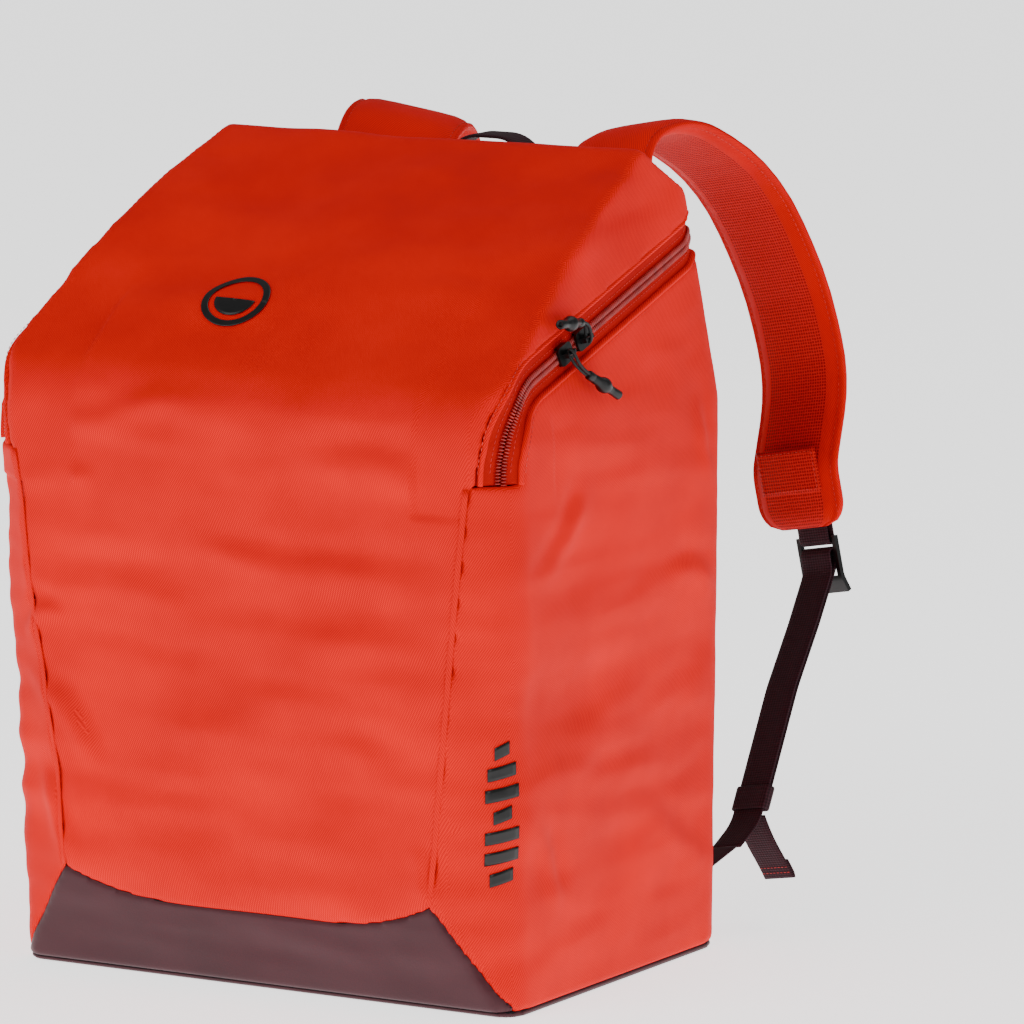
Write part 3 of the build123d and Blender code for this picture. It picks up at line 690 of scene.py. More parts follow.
def fold_field(a, b, folds):
    """Sum of soft ridges and hollows on a flat (a, b) map in metres."""
    total = np.zeros(len(a))
    for k, (a0, b0, a1, b1, width, depth) in enumerate(folds):
        start, line = np.array([a0, b0]) * MM, np.array([a1 - a0, b1 - b0]) * MM
        size = np.linalg.norm(line)
        rel = np.stack([a, b], 1) - start
        t = (rel @ line) / size**2
        off = (rel @ np.array([-line[1], line[0]])) / size + 0.004 * np.sin(t * 5 + k)
        fade = np.clip(np.minimum(t + 0.12, 1.12 - t) / 0.45, 0, 1)
        fade = fade * fade * (3 - 2 * fade)
        q = off / (width * MM)
        total += 1.5 * depth * MM * fade * (np.exp(-q * q) - 0.75 * np.exp(-((q - 1.25) ** 2)))
    return total


def cloth_noise(co, level, upright, seed):
    """Smooth noise whose lumps are level metres long and upright metres high."""
    return np.array([noise.noise(Vector((x / level + seed, y / level, z / upright))) for x, y, z in co])


def outward(co):
    """Which way is out of the bag at each point."""
    a, b, c = co[:, 0] / BELLY_X, co[:, 1] / BACK_Y, np.maximum(co[:, 2] - 0.2, 0) / 0.27
    return unit(np.stack([a**7 / BELLY_X, b**7 / BACK_Y, c**7 / 0.27], 1))


def smooth_step(value, low, high):
    """From 0 at low to 1 at high."""
    t = np.clip((value - low) / (high - low), 0, 1)
    return t * t * (3 - 2 * t)


def relief(co):
    """How far the cloth stands off its flat pattern at each point."""
    x, y, z = co.T
    at_front = smooth_step(-y, 0.02, 0.10)
    at_side = smooth_step(np.abs(x), 0.148, 0.166) * (1 - smooth_step(-y, 0.105, 0.128))
    rise = 0.0034 * np.clip(1 - (x / 0.15) ** 2, 0, 1) * smooth_step(z, 0.06, 0.2) * at_front
    mirrored = np.where(x > 0, y, y + 0.02)
    folds = fold_field(x, z, FOLDS) * at_front * (1 - at_side) + fold_field(mirrored, z, SIDE_FOLDS) * at_side
    slow = cloth_noise(co, 0.085, 0.05, 3.1) * 0.0032
    level = cloth_noise(co, 0.060, 0.016, 7.7) * 0.0017
    fine = cloth_noise(co, 0.022, 0.010, 1.3) * 0.0003
    zip_off = np.abs(z - (ZIP_BACK_Z + (np.minimum(y, BACK_Y) - BACK_Y) * ZIP_SLOPE))
    near_zip = np.where((np.abs(x) > 0.115) | (y > 0.09), smooth_step(zip_off, 0.010, 0.045), 1.0)
    near_zip = np.where((np.abs(x) > 0.115) & (y < -0.075) & (z > 0.29), np.minimum(near_zip, 0.25), near_zip)
    calm = smooth_step(z, 0.002, 0.03) * (1 - 0.85 * smooth_step(y, 0.095, 0.125))
    return (rise + folds + slow + level + fine) * near_zip * calm


def stuffed(co):
    """How far the fuller left side stands out sideways, which the zip there follows."""
    x, y, z = co.T
    level = np.exp(-(((z - 0.315) / 0.13) ** 2))
    return LEFT_BULGE * smooth_step(-x, 0.10, 0.16) * level * (1 - smooth_step(y, -0.02, 0.09))


def settle(co):
    """Points of the flat pattern where the cloth really lies."""
    co = np.asarray(co, float)
    return co + outward(co) * relief(co)[:, None] - np.outer(stuffed(co), [1, 0, 0])


def settle_piece(obj):
    """Moves a whole piece with the cloth."""
    set_points(obj, settle(points_of(obj)))
    return obj


# %% [markdown]
# ## The shell's panels
# The front runs from the guard over the upright face and up the sloping lid in one piece of twill, and the lid's
# gussets are sewn to it with hidden seams, so they are one cloth here. It stays one fixed piece, tied to neither the
# bag nor the lid. The sides, back, base and guard are their own panels. A thin rolled edge covers each front seam.

# %% Panels
# name, nodes, size of the even faces and extra fullness in mm, outer cloth, lining
PANELS = [
    (
        "front_and_lid_cloth",
        ["front_panel", "lid_top_panel", "lid_right_gusset", "lid_left_gusset", "lid_back_gusset"],
        2.3, 1.0, SHELL, LINING,
    ),
    ("right_side_cloth", ["right_side_panel"], 2.0, 0.9, SHELL, LINING),
    ("left_side_cloth", ["left_side_panel"], 2.0, 0.9, SHELL, LINING),
    ("back_cloth", ["back_panel"], 2.6, 0.8, SHELL, LINING),
    ("base_cloth", ["base_panel"], 2.2, 0.4, GUARD, LINING),
    ("guard_cloth", ["front_guard"], 1.8, 1.3, GUARD, LINING),
]
cloth = {}
for name, nodes, voxel, swell, outside, inside in PANELS:
    panel = solid_cloth(name, nodes, voxel * MM, swell * MM)
    settle_piece(panel)
    dress(panel, outside, inside)
    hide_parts(*nodes)
    cloth[name] = panel
    print(name, len(panel.data.polygons), "faces")
set_points(cloth["base_cloth"], np.maximum(points_of(cloth["base_cloth"]), [-1, -1, 0]))
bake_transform(cloth["front_and_lid_cloth"])
for name in ("right_side_cloth", "left_side_cloth", "back_cloth", "base_cloth", "guard_cloth"):
    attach(cloth[name], "bag")


# %% Front seams
def front_seam(side):
    """The line between the front and a side, from the guard to the hinge, found by sounding the frame's front panel."""
    solid = sounding(["front_panel"])
    line = []
    for z in np.linspace(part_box("front_guard")[1].z + 1 * MM, FRONT_TOP - 1 * MM, 50):
        inside, beyond = 0.10, 0.17
        for _ in range(16):
            x = (inside + beyond) / 2
            hit = solid.ray_cast(Vector((x, -0.3, z)), Vector((0, 1, 0)))[0]
            inside, beyond = (x, beyond) if hit is not None and hit.y < FRONT_Y + 12 * MM else (inside, x)
        line.append((side * inside, FRONT_Y, z))
    return settle(line)


for label, side in (("right", 1), ("left", -1)):
    line = front_seam(side)
    panels = [cloth_tree(cloth["front_and_lid_cloth"]), cloth_tree(cloth[f"{label}_side_cloth"])]
    depths = []
    for x, _, z in line:
        starts = [Vector((x + off * MM, -0.3, z)) for off in (-2, 0, 2)]
        hits = [tree.ray_cast(start, Vector((0, 1, 0)))[0] for tree in panels for start in starts]
        depths.append(min(hit.y for hit in hits if hit is not None))
    line[:, 1] = np.convolve(np.pad(depths, 3, mode="edge"), np.ones(7) / 7, mode="valid")
    way = unit([1, 0.35 * side, 0])
    binding = sweep(f"{label}_front_seam_binding", line, way, flat_outline(3.4 * MM, 1.3 * MM), [SHELL])
    recalculate(binding)
    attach(binding, "bag")
    print(binding.name, "at", line[0].round(3), "to", line[-1].round(3))


# %% [markdown]
# ## The zip
# One coil zip runs up the right side of the front, bends back along the side, crosses the back and comes down the
# left. Its line is found by sounding the frame's tapes from outside, a little to each side of the middle, which also
# gives the direction across it. Tapes and the cloth's rolled edges beside them are swept along that line, and the
# coil's turns are a row of small parts.

# %% The zip's line
def zip_line():
    """Points along the middle of the zip, with the direction towards the bag's side of it."""
    tapes = sounding(["bag_zip_tape", "lid_zip_tape"])
    reach = 6 * MM
    height = lambda y: ZIP_BACK_Z + (y - BACK_Y) * ZIP_SLOPE
    line = rounded_line(
        [(ZIP_Y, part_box("lid_zip_tape")[0].z + 0.5 * MM), (ZIP_Y, height(ZIP_Y)), (0.104, height(0.104))],
        [0.05], 2 * MM,
    )
    run = np.gradient(line, axis=0)
    run /= np.linalg.norm(run, axis=1, keepdims=True)
    rays = [
        (Vector((0.3, y - s * ty_z[1] * reach, z + s * ty_z[0] * reach)), Vector((-1, 0, 0)))
        for (y, z), ty_z in zip(line, run)
        for s in (1, -1)
    ]
    corner_x, corner_y = 0.143, 0.110
    for angle in np.linspace(math.radians(4), math.pi / 2, 22):
        d = Vector((math.cos(angle), math.sin(angle), 0))
        z = height(corner_y + 0.0225 * d.y)
        rays += [(Vector((corner_x, corner_y, z + s * reach)) + d * 0.2, -d) for s in (1, -1)]
    for x in np.linspace(corner_x - 0.002, 0, 60):
        rays += [(Vector((x, 0.3, height(0.1330) + s * reach)), Vector((0, -1, 0))) for s in (1, -1)]
    hits = [tapes.ray_cast(start, way)[0] for start, way in rays]
    lidward, bagward = np.array([list(h) for h in hits[0::2]]), np.array([list(h) for h in hits[1::2]])
    middle, across = (lidward + bagward) / 2, unit(bagward - lidward)
    flip = np.array([-1, 1, 1])
    middle = np.vstack([middle, (middle * flip)[-2::-1]])
    across = np.vstack([across, (across * flip)[-2::-1]])
    middle, across = resample(middle, 2 * MM, across)
    return settle(middle), unit(across)


zip_path, zip_across = zip_line()
zip_out = unit(np.cross(zip_across, tangents(zip_path)))
print("zip length", round(along(zip_path)[-1], 3), "out at start", zip_out[5].round(2))


# %% Tapes and coil
def tape_outline(near, far_side):
    """A tape's section from its inner edge to its outer edge, in metres across the zip."""
    a = np.linspace(near, far_side, 9)
    dive = [-0.45 * max(0.0, abs(v) - 11 * MM) for v in a]  # the hidden edge tucks in under the panel
    top = list(zip(a, dive))
    bottom = [(v, d - 1.0 * MM) for v, d in zip(a[::-1], dive[::-1])]
    return lambda i, s, total: top + bottom


TOOTH_PITCH = 1.9 * MM
for body, side in (("bag", 1), ("lid", -1)):
    tape = sweep(f"{body}_zip_tape_cloth", zip_path, zip_across, tape_outline(side * 0.6 * MM, side * 16 * MM), [TAPE])
    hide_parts(f"{body}_zip_tape")
    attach(tape, body)
    spots, cross = resample(zip_path, TOOTH_PITCH, zip_across)
    if side < 0:
        spots = (spots[1:] + spots[:-1]) / 2
        cross = cross[1:]
    run = tangents(spots)
    out = unit(np.cross(cross, run))
    coil = row_of(
        f"{body}_zip_coil_turns", spots + cross * side * 1.75 * MM + out * 1.0 * MM, run, cross,
        4.2 * MM, 1.35 * MM, 2.3 * MM, COIL,
    )
    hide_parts(f"{body}_zip_coil")
    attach(coil, body)
    rows = [
        (zip_path[4:-4] + zip_across[4:-4] * side * a * MM + zip_out[4:-4] * n * MM, zip_across[4:-4])
        for a, n in ((14.6, 2.35), (6.2, 0.1))
    ]
    sewn = stitches(f"{body}_zip_stitching", rows, 3.4 * MM, 2.5 * MM, 0.55 * MM, THREAD_RED)
    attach(sewn, body)
    turns = np.linspace(0, 2 * math.pi, 14, endpoint=False)
    rolled = [(side * (12.2 + 1.6 * math.cos(t)) * MM, (1.0 + 2.1 * math.sin(t)) * MM) for t in turns]
    fold = sweep(f"{body}_zip_edge_fold", zip_path, zip_across, lambda i, s, total: rolled, [SHELL])
    recalculate(fold)
    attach(fold, body)


# %% [markdown]
# ## Sliders, cord pulls and grips
# The two sliders keep the frame's shape and get black enamel. Each pull is a doubled 2 mm cord round the slider's
# bridge, held in a moulded grip with a round bulb, which is turned like a chess piece. The cord is limp and short.

# %% Pulls
PULLS = {
    # side of the zip that it hangs on, lift off the cloth and turn of the grip, in degrees
    "upper": (1, 14, 70),
    "lower": (-1, 12, 39),
}
PULL_REACH, PULL_RUN, WRAP, SPREAD = 10 * MM, 8 * MM, 2.2 * MM, 1.05 * MM
ZIP_RUN = Vector(joints["upper_slider_slide"]["axis"]).normalized()
SIDE_OUT = Vector((1, 0, -ZIP_RUN.x / ZIP_RUN.z)).normalized()


def lathe(name, start, way, profile, materials, segments=28):
    """A turned solid about a line, from (distance, radius) pairs in metres."""
    way = Vector(way).normalized()
    u = way.orthogonal().normalized()
    v = way.cross(u)
    verts, faces = [], []
    for d, r in profile:
        for k in range(segments):
            t = 2 * math.pi * k / segments
            verts.append(Vector(start) + way * d + (u * math.cos(t) + v * math.sin(t)) * r)
    for i in range(len(profile) - 1):
        for k in range(segments):
            j = (k + 1) % segments
            faces.append((i * segments + k, i * segments + j, (i + 1) * segments + j, (i + 1) * segments + k))
    faces.append(tuple(range(segments))[::-1])
    faces.append(tuple((len(profile) - 1) * segments + k for k in range(segments)))
    piece = new_piece(name, verts, faces, materials)
    recalculate(piece)
    return piece


GRIP = [
    (0.0, 2.2), (0.4, 2.7), (0.8, 2.8), (4.0, 2.8), (4.4, 2.5), (5.0, 2.5), (5.4, 2.8), (8.6, 2.85), (10.0, 3.4),
    (11.6, 4.2), (13.2, 4.6), (14.8, 4.6), (16.4, 4.2), (18.0, 3.3), (19.0, 2.75), (22.0, 2.6), (27.4, 2.8),
    (28.0, 2.5), (28.0, 1.5), (25.5, 1.4), (25.5, 0.05),
]
for name, (side, lift, turn) in PULLS.items():
    bar = Vector(joints[f"{name}_pull_swing"]["pos_m"])
    across = SIDE_OUT.cross(ZIP_RUN)
    lift, turn = math.radians(lift), math.radians(turn)
    up = SIDE_OUT * math.cos(lift) - across * side * math.sin(lift)
    x_axis = ZIP_RUN * -side
    y_axis = up.cross(x_axis)
    place = lambda p: bar + x_axis * p[0] + y_axis * p[1] + up * p[2]
    heading = Vector((math.sin(turn), -math.cos(turn), 0))
    mouth = Vector((PULL_RUN * heading.x, -PULL_REACH + PULL_RUN * heading.y, 0))
    half = [(mouth.x, mouth.y, SPREAD), (0, -PULL_REACH, SPREAD), (0, WRAP, WRAP)]
    route = [place(p) for p in half + [(x, y, -z) for x, y, z in reversed(half)]]
    curve = bpy.data.curves.new(f"{name}_cord", "CURVE")
    curve.dimensions = "3D"
    curve.resolution_u = 12
    curve.bevel_depth = 1.0 * MM
    curve.bevel_resolution = 4
    curve.use_fill_caps = True
    spline = curve.splines.new("NURBS")
    spline.points.add(len(route) - 1)
    for point, where in zip(spline.points, route):
        point.co = (*where, 1)
    spline.order_u = 3
    spline.use_endpoint_u = True
    curve.materials.append(CORD)
    cord = bpy.data.objects.new(f"{name}_cord", curve)
    bpy.context.scene.collection.objects.link(cord)
    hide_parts(f"{name}_pull_cord")
    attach(cord, f"{name}_pull")
    grip = lathe(
        f"{name}_grip", place(mouth), place(mouth + heading) - place(mouth),
        [(d * MM, r * MM) for d, r in GRIP], [ACETAL],
    )
    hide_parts(f"{name}_pull_grip")
    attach(grip, f"{name}_pull")
    slider = frame["nodes"][f"{name}_slider"]
    slider.data.materials.clear()
    slider.data.materials.append(ENAMEL)
    print(name, "pull at", [round(v, 4) for v in bar])


# %% [markdown]
# ## Shoulder straps
# Each strap is one line: sewn under the yoke, a curved foam pad, a loop of webbing that holds the ladder lock, the
# adjuster webbing from the lock down to the side seam, and a free tail below a keeper. It all lies in one plane,
# turned a little outwards, so every piece is swept along a flat route in that plane. The pad's section is a shallow
# cushion whose edges thin to a bound hem, with spacer mesh only on the side that faces the wearer.

# %% The strap's plane
SEAM = Vector(joints["right_strap_swing"]["pos_m"])
STRAP_UP = Vector(joints["right_strap_swing"]["axis"]).normalized()
STRAP_ACROSS = Vector(joints["right_buckle_tilt"]["axis"]).normalized()
STRAP_OUT = STRAP_UP.cross(STRAP_ACROSS)


def in_strap(points):
    """Flat (out, up) places in mm, as points in the strap's plane."""
    return np.array([SEAM + STRAP_OUT * (v * MM) + STRAP_UP * (h * MM) for v, h in points])


def strap_place(point):
    """The flat (out, up) place of a point, in mm."""
    rel = Vector(point) - SEAM
    return rel.dot(STRAP_OUT) / MM, rel.dot(STRAP_UP) / MM


BAR_V, BAR_H = strap_place(joints["right_buckle_tilt"]["pos_m"])
TAIL_V, TAIL_H = strap_place(joints["right_tail_swing"]["pos_m"])
PAD_ROUTE = [(16, 30), (19, 68), (62, 76), (122, 38), (148, -35), (152, -95), (128, -145), (128, -182)]
PAD_RADII = [24, 55, 110, 180, 90, 30]
PAD_HALF, PAD_THICK, WEB_WIDTH, WEB_THICK = 36.0, 5.2, 25.0, 1.5
GRIP_H, WRAP_R = BAR_H - 9, 4.0
ADJUSTER_ROUTE = [
    (17, -357.2), (36, -346), (85, -272), (112, -238), (BAR_V - WRAP_R, GRIP_H - 10), (BAR_V - WRAP_R, GRIP_H + WRAP_R),
    (BAR_V + WRAP_R, GRIP_H + WRAP_R), (BAR_V + WRAP_R, GRIP_H - WRAP_R),
]
ADJUSTER_RADII = [30, 120, 90, 12, WRAP_R - 0.01, WRAP_R - 0.01]
print("buckle bar", round(BAR_V, 1), round(BAR_H, 1), "tail", round(TAIL_V, 1), round(TAIL_H, 1))

# %% The pad's section
FACE = [(1, 0.16), (0.95, 0.44), (0.885, 0.36), (0.82, 0.66), (0.66, 0.9), (0.35, 0.99), (0, 1.0)]
FACE = FACE + [(-f, t) for f, t in FACE[-2::-1]]
PAD_RING = [(-f, -t) for f, t in FACE] + [(f, t) for f, t in FACE]
PAD_END_RADIUS = 17.0
PATCH_HALF = 25
PATCH_RING = [(-1, -0.2), (-0.95, -0.7), (0, -0.9), (0.95, -0.7), (1, -0.2), (1, 0.6), (0, 0.6), (-1, 0.6)]


def pad_outline(i, s, total):
    """The section narrows round the pad's lower corners and thins towards both ends."""
    end = (total - s) / MM
    reach = max(0.0, PAD_END_RADIUS - end)
    half = PAD_HALF - PAD_END_RADIUS + math.sqrt(max(PAD_END_RADIUS**2 - reach**2, 0.0)) if reach else PAD_HALF
    thin = 0.42 + 0.58 * min(1, max(end, 0) / 9) ** 0.6
    thin *= 0.75 + 0.25 * min(1, s / MM / 12)
    ripple = 0.25 * math.sin(s / MM / 17) + 0.2 * math.sin(s / MM / 7.3 + 1)
    return [(f * half * MM, (t * PAD_THICK * thin + ripple * (1 - f * f)) * MM) for f, t in PAD_RING]


def pad_side(k):
    """Spacer mesh on the middle of the wearer's side, binding on its edges, twill on the other side."""
    count = len(FACE)
    if 4 <= k < count - 5:
        return 1
    return 2 if k < count or k > 2 * count - 3 or k < count + 2 else 0


pad_line = in_strap(rounded_line(PAD_ROUTE, PAD_RADII, 3.0))


def side_pieces(side):
    """Every swept piece of one strap, attached to its body, with the nodes that it stands for hidden."""
    made = []

    def keep(obj, body, slot_name, *nodes):
        if side == "left":
            rows = points_of(obj)
            rows[:, 0] *= -1
            set_points(obj, rows)
            obj.data.flip_normals()
        if nodes:
            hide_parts(*[f"{side}_{n}" for n in nodes])
        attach(obj, f"{side}_{body}" if body != "bag" else "bag")
        made.append(obj)
        return obj

    pad = sweep(f"{side}_shoulder_pad", pad_line, STRAP_ACROSS, pad_outline, [SHELL, STRAP_MESH, HEM], pad_side)
    recalculate(pad)
    keep(pad, "strap", "shell_fabric", "pad_cover", "pad_foam", "pad_liner")

    patch_line = in_strap([(128 - PAD_THICK - 0.5, h) for h in np.linspace(-133, -160, 10)])
    patch = sweep(
        f"{side}_pad_patch_cloth", patch_line, STRAP_ACROSS,
        lambda i, s, t: [(a * MM * PATCH_HALF, n * MM) for a, n in PATCH_RING],
        [STRAP_MESH],
    )
    recalculate(patch)
    keep(patch, "strap", "liner_mesh", "pad_patch")

    flat = flat_outline(WEB_WIDTH * MM, WEB_THICK * MM)
    tape_v, far_v = BAR_V - 2.5, BAR_V + 2.5
    tape = sweep(
        f"{side}_lock_loop",
        in_strap(rounded_line(
            [
                (tape_v, -152), (tape_v, BAR_H - 2.5), (far_v, BAR_H - 2.5), (far_v, BAR_H + 10),
                (tape_v + 1.6, BAR_H + 20), (tape_v + 1.6, -153),
            ],
            [2.49, 2.49, 5, 5], 1.2,
        )),
        STRAP_ACROSS, flat, [WEBBING],
    )
    recalculate(tape)
    keep(tape, "strap", "webbing", "buckle_tape")

    up_strand = rounded_line(ADJUSTER_ROUTE, ADJUSTER_RADII, 2.0)
    under = rounded_line(ADJUSTER_ROUTE[:5], ADJUSTER_RADII[:3], 2.0)
    run = np.gradient(under, axis=0)
    run /= np.linalg.norm(run, axis=1, keepdims=True)
    back_strand = under + 2.1 * np.stack([run[:, 1], -run[:, 0]], 1)
    start = np.argmin(np.linalg.norm(back_strand - [TAIL_V, TAIL_H], axis=1)) + 1
    route = np.vstack([up_strand, back_strand[start:-6][::-1]])
    for _ in range(6):
        n = len(up_strand)
        route[n - 1 : n + 8] = (route[n - 1 : n + 8] + (route[n - 2 : n + 7] + route[n : n + 9]) / 2) / 2
    strap = sweep(f"{side}_adjuster_strap", resample(in_strap(route), 2 * MM), STRAP_ACROSS, flat, [WEBBING])
    recalculate(strap)
    keep(strap, "strap", "webbing", "adjuster_webbing")

    keeper_run = Vector((0.552, 0.834))
    keeper_side = Vector((-0.834, 0.552))
    middle = Vector((45.7, -333.2))
    half_w, half_t = WEB_WIDTH / 2 + 1.3, 2.9
    loop_points = []
    for t in np.linspace(0, 2 * math.pi, 40, endpoint=False):
        a = half_w * math.copysign(abs(math.cos(t)) ** 0.25, math.cos(t))
        n = half_t * math.copysign(abs(math.sin(t)) ** 0.5, math.sin(t))
        centre = SEAM + STRAP_OUT * (middle.x * MM) + STRAP_UP * (middle.y * MM)
        thick_way = STRAP_OUT * keeper_side.x + STRAP_UP * keeper_side.y
        loop_points.append(centre + STRAP_ACROSS * (a * MM) + thick_way * (n * MM))
    loop_way = STRAP_OUT * keeper_run.x + STRAP_UP * keeper_run.y
    keeper = sweep(
        f"{side}_strap_keeper", [list(p) for p in loop_points], loop_way, flat_outline(15 * MM, 1.3 * MM), [WEBBING],
        closed=True,
    )
    recalculate(keeper)
    keep(keeper, "strap", "webbing", "keeper")

    down = np.array([0.33, -0.94])
    pivot = np.array([TAIL_V, TAIL_H])
    sway = np.array([-0.94, -0.33])
    hang = [pivot + down * d + sway * 0.9 * math.sin(d / 9) for d in np.linspace(0.5, 44, 24)]
    fold = [hang[-1] - sway * 0.8 + down * 0.8] + [p - sway * 1.7 for p in hang[-2:-8:-1]]
    tail = sweep(f"{side}_strap_tail", resample(in_strap(hang + fold), 1.5 * MM), STRAP_ACROSS, flat, [WEBBING])
    recalculate(tail)
    keep(tail, "tail", "webbing", "webbing_tail")
    hem = [in_strap([hang[-1 - k] - sway * 2.5] * 2) + np.outer([-10.5, 10.5], STRAP_ACROSS) * MM for k in (2, 4)]
    hem += [in_strap([hang[-1 - k] + sway * 0.85] * 2) + np.outer([-10.5, 10.5], STRAP_ACROSS) * MM for k in (2, 4)]
    sewn = stitches(
        f"{side}_tail_stitching", [(line, STRAP_OUT) for line in hem], 2.8 * MM, 2.1 * MM, 0.6 * MM, THREAD_RED
    )
    keep(sewn, "tail", "webbing")

    anchor_line = in_strap([(v, -361.1 + v * 0.324) for v in np.linspace(-9, 12.5, 12)])
    anchor = sweep(f"{side}_sewn_anchor", anchor_line, STRAP_ACROSS, flat, [WEBBING])
    recalculate(anchor)
    keep(anchor, "bag", "webbing", "strap_anchor")

    inner = pad_line[3:-3]
    normals = unit(np.cross(np.broadcast_to(STRAP_ACROSS, inner.shape), tangents(inner)))
    rows = []
    for a in (-0.885, 0.885):
        for n in (-1, 1):
            sideways = np.outer(np.full(len(inner), a * PAD_HALF * MM), STRAP_ACROSS)
            rows.append((inner + sideways + normals * n * 0.40 * PAD_THICK * MM, STRAP_ACROSS))
    box = [(-23, -135), (23, -135), (23, -158), (-23, -158), (-23, -135)]
    v = 128 - PAD_THICK - 1.4
    rows.append((np.array([in_strap([(v, h)])[0] + np.array(STRAP_ACROSS) * a * MM for a, h in box]), normals[-1]))
    sewn = stitches(f"{side}_pad_stitching", rows, 3.4 * MM, 2.5 * MM, 0.6 * MM, THREAD_RED)
    keep(sewn, "strap", "shell_fabric")
    v = BAR_V
    box = [(-9, -155), (9, -155), (9, -168), (-9, -168), (-9, -155), (9, -168)]
    sewn = stitches(
        f"{side}_loop_stitching",
        [(np.array([in_strap([(v, h)])[0] + np.array(STRAP_ACROSS) * a * MM for a, h in box]), normals[-1])],
        2.8 * MM, 2.1 * MM, 0.6 * MM, THREAD_MAROON,
    )
    keep(sewn, "strap", "webbing")
    return made


for side in ("right", "left"):
    print(side, [piece.name for piece in side_pieces(side)])


# %% [markdown]
# ## Yoke, strap roots, back pads and haul loop
# The yoke is a doubled strip of shell cloth that the straps and the haul loop are sewn under. The roots are the
# straps' ends, thick where the foam is caught in the seam. The back pads are spacer mesh over foam, quilted across so
# that they bend with the back; a short cloth simulation fills them like cushions. The haul loop is a bowed length
# of webbing.

# %% Yoke and roots
yoke = solid_cloth("yoke_cloth", ["strap_yoke"], 1.7 * MM, 0.2 * MM)
dress(yoke, SHELL)
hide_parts("strap_yoke")
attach(yoke, "bag")
for side in ("right", "left"):
    root = solid_cloth(f"{side}_root_cloth", [f"{side}_strap_root"], 1.8 * MM, 0.3 * MM, 5)
    dress(root, SHELL)
    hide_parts(f"{side}_strap_root")
    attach(root, "bag")
low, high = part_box("strap_yoke")
edge = 3 * MM
frame_line = [
    (low.x + edge, low.z + edge), (high.x - edge, low.z + edge), (high.x - edge, high.z - edge),
    (low.x + edge, high.z - edge), (low.x + edge, low.z + edge),
]
yoke_rows = [(np.array([(x, high.y + 0.3 * MM, z) for x, z in frame_line]), (0, 1, 0))]
sewn = stitches("yoke_stitching", yoke_rows, 3.4 * MM, 2.5 * MM, 0.6 * MM, THREAD_RED)
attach(sewn, "bag")


# %% Back pads
def filled(obj, pressure, cap):
    """Blows a pad up like a cushion and settles it, no point further than the cap."""
    start = points_of(obj)
    blow = obj.modifiers.new("blow", "CLOTH")
    blow.settings.use_pressure = True
    blow.settings.uniform_pressure_force = pressure
    blow.settings.effector_weights.gravity = 0
    blow.settings.quality = 5
    for step in range(1, 21):
        bpy.context.scene.frame_set(step)
    work_in(obj)
    bpy.context.scene.frame_set(1)
    move = points_of(obj) - start
    size = np.linalg.norm(move, axis=1, keepdims=True)
    set_points(obj, start + move * np.minimum(1, cap / np.maximum(size, 1e-9)))
    return obj


QUILT_STEP = 38 * MM
for node in ("right_back_pad", "left_back_pad", "lumbar_pad"):
    low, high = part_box(node)
    pad = solid_cloth(f"{node}_mesh", [node], 4 * MM, -0.6 * MM)
    filled(pad, 4, 3 * MM)
    finer = pad.modifiers.new("finer", "SUBSURF")
    finer.levels = finer.render_levels = 1
    work_in(pad)
    rows = points_of(pad)
    seams = np.arange(low.z + QUILT_STEP * 0.8, high.z - QUILT_STEP * 0.4, QUILT_STEP)
    outer = smooth_step(rows[:, 1], low.y + 3 * MM, low.y + 6 * MM)
    for z in seams:
        rows[:, 1] -= outer * 3.6 * MM * np.exp(-(((rows[:, 2] - z) / (4.2 * MM)) ** 2))
    rows[:, 1] = np.maximum(rows[:, 1], low.y + 0.2 * MM)
    set_points(pad, rows)
    dress(pad, BACK_MESH)
    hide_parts(node)
    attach(pad, "bag")
    print(pad.name, len(pad.data.polygons), "faces")

# %% Haul loop
HAUL = Vector(joints["haul_loop_fold"]["pos_m"])
low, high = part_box("haul_loop")
half, top = high.x - 1.2 * MM, high.z - 1.2 * MM
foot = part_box("haul_loop_feet")[0].z
loop_route = [(-half, foot), (-half, top), (half, top), (half, foot)]
loop_line = rounded_line([(x / MM, z / MM) for x, z in loop_route], [24, 24], 1.5)
loop = sweep(
    "haul_loop_webbing", [(x * MM, HAUL.y, z * MM) for x, z in loop_line], (0, 1, 0),
    flat_outline(22 * MM, 2.2 * MM), [WEBBING],
)
recalculate(loop)
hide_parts("haul_loop", "haul_loop_feet")
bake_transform(loop)


# %% [markdown]
# ## Prints
# A ring with a filled half stands on the lid, and a column of slanted bars beside the front seam. Both are plain
# shapes of smooth black film, pressed onto the cloth, so they follow its folds: each point is dropped onto the panel.

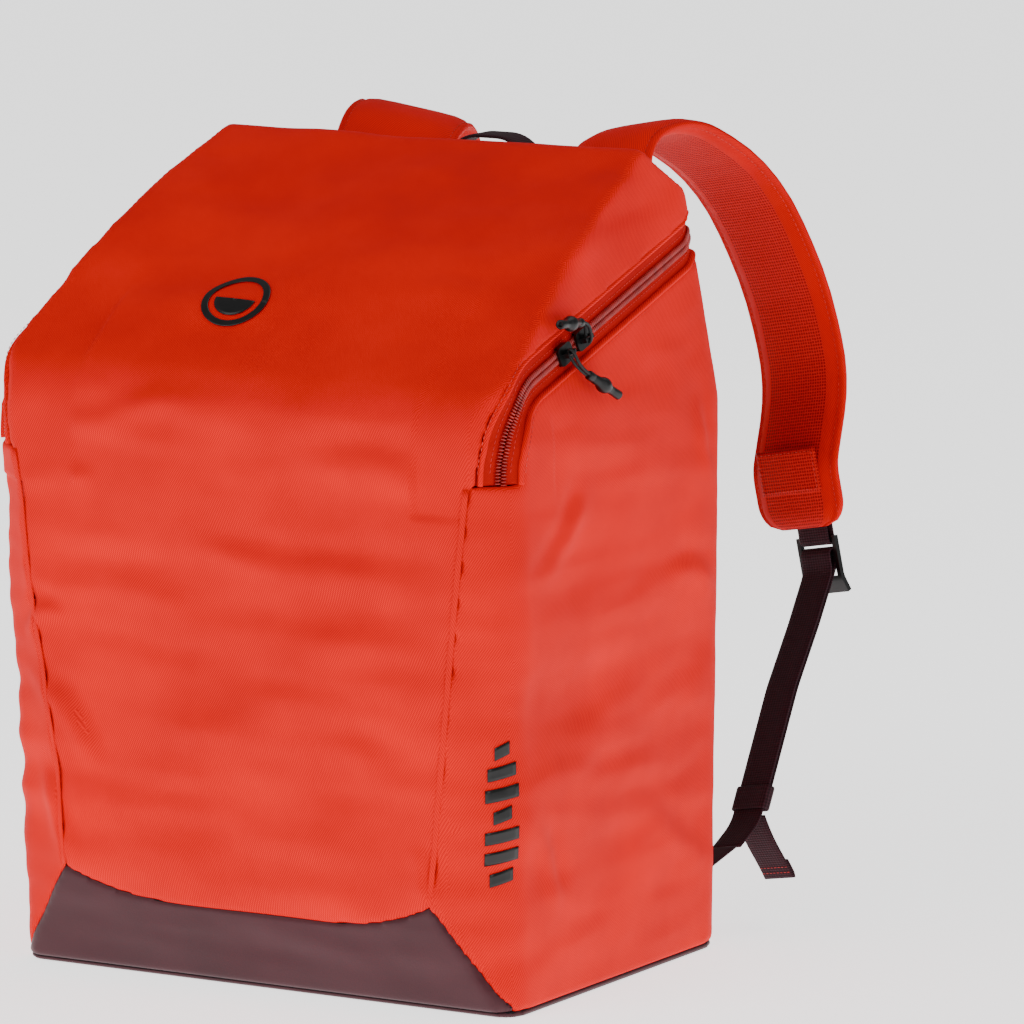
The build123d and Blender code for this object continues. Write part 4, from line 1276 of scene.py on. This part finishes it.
# %% Film shapes pressed onto the cloth
def pressed(name, patches, centre, right, up, target):
    """Flat grids of (across, up) places in metres, dropped onto the cloth along the direction that they face."""
    right, up, centre = Vector(right).normalized(), Vector(up).normalized(), Vector(centre)
    facing = right.cross(up)
    verts, faces = [], []
    for grid in patches:
        base, wide = len(verts), len(grid[0])
        for row in grid:
            for a, b in row:
                hit, normal, _, _ = target.ray_cast(centre + right * a + up * b + facing * 0.04, -facing)
                verts.append(hit + facing * 0.7 * MM)
        for i in range(len(grid) - 1):
            for j in range(wide - 1):
                a, b = base + i * wide + j, base + (i + 1) * wide + j
                faces.append((a, a + 1, b + 1, b))
    piece = new_piece(name, verts, faces, [PRINT])
    film = piece.modifiers.new("film", "SOLIDIFY")
    film.thickness = 0.2 * MM
    film.offset = -1
    return piece


def ring_patch(inner, outer, start, stop, steps):
    """A band of a circle as a grid."""
    return [
        [(r * math.cos(t), r * math.sin(t)) for t in np.linspace(start, stop, steps)] for r in np.linspace(inner, outer, 7)
    ]


BADGE = 21 * MM
lid_tree = cloth_tree(cloth["front_and_lid_cloth"])
badge = pressed(
    "lid_badge",
    [
        ring_patch(BADGE * 0.80, BADGE, 0, 2 * math.pi + 0.04, 72),
        ring_patch(0.3 * MM, BADGE * 0.62, math.pi * 1.0, math.pi * 2.0, 32),
    ],
    (-0.0385, -0.0755, 0.3885), (1, 0, 0), (0, 0.85, 0.52), lid_tree,
)
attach(badge, "lid")

side_tree = cloth_tree(cloth["right_side_cloth"])
BAR_LENGTHS = [14, 20, 20, 11, 20, 17, 9]
bars, z = [], 0.079
for length in BAR_LENGTHS:
    low_z, high_z = z, z + 7.5 * MM
    heights = np.linspace(low_z, high_z, 5)
    bars.append([[(a * length / 2 * MM, zz + a * 2 * MM) for a in np.linspace(-1, 1, 7)] for zz in heights])
    z = high_z + 4.8 * MM
facet_right = Vector((0.757, 0.653, 0))
stack = pressed("side_bars", bars, (0.1645, -0.1206, 0), facet_right, (0, 0, 1), side_tree)
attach(stack, "bag")

# %% [markdown]
# ## Hard pieces, floor and the end
# The ladder locks, the base board and the back sheet keep the frame's shapes; each gets its plastic. Then the floor
# goes in.

# %% Finish
kept = [("right_ladder_lock", ACETAL), ("left_ladder_lock", ACETAL), ("base_board", BOARD), ("back_stiffener", BOARD)]
for node, finish in kept:
    solid = frame["nodes"][node]
    solid.data.materials.clear()
    solid.data.materials.append(finish)
floor = new_piece("floor", [(-9, -9, 0), (9, -9, 0), (9, 9, 0), (-9, 9, 0)], [(0, 1, 2, 3)], [FLOOR])
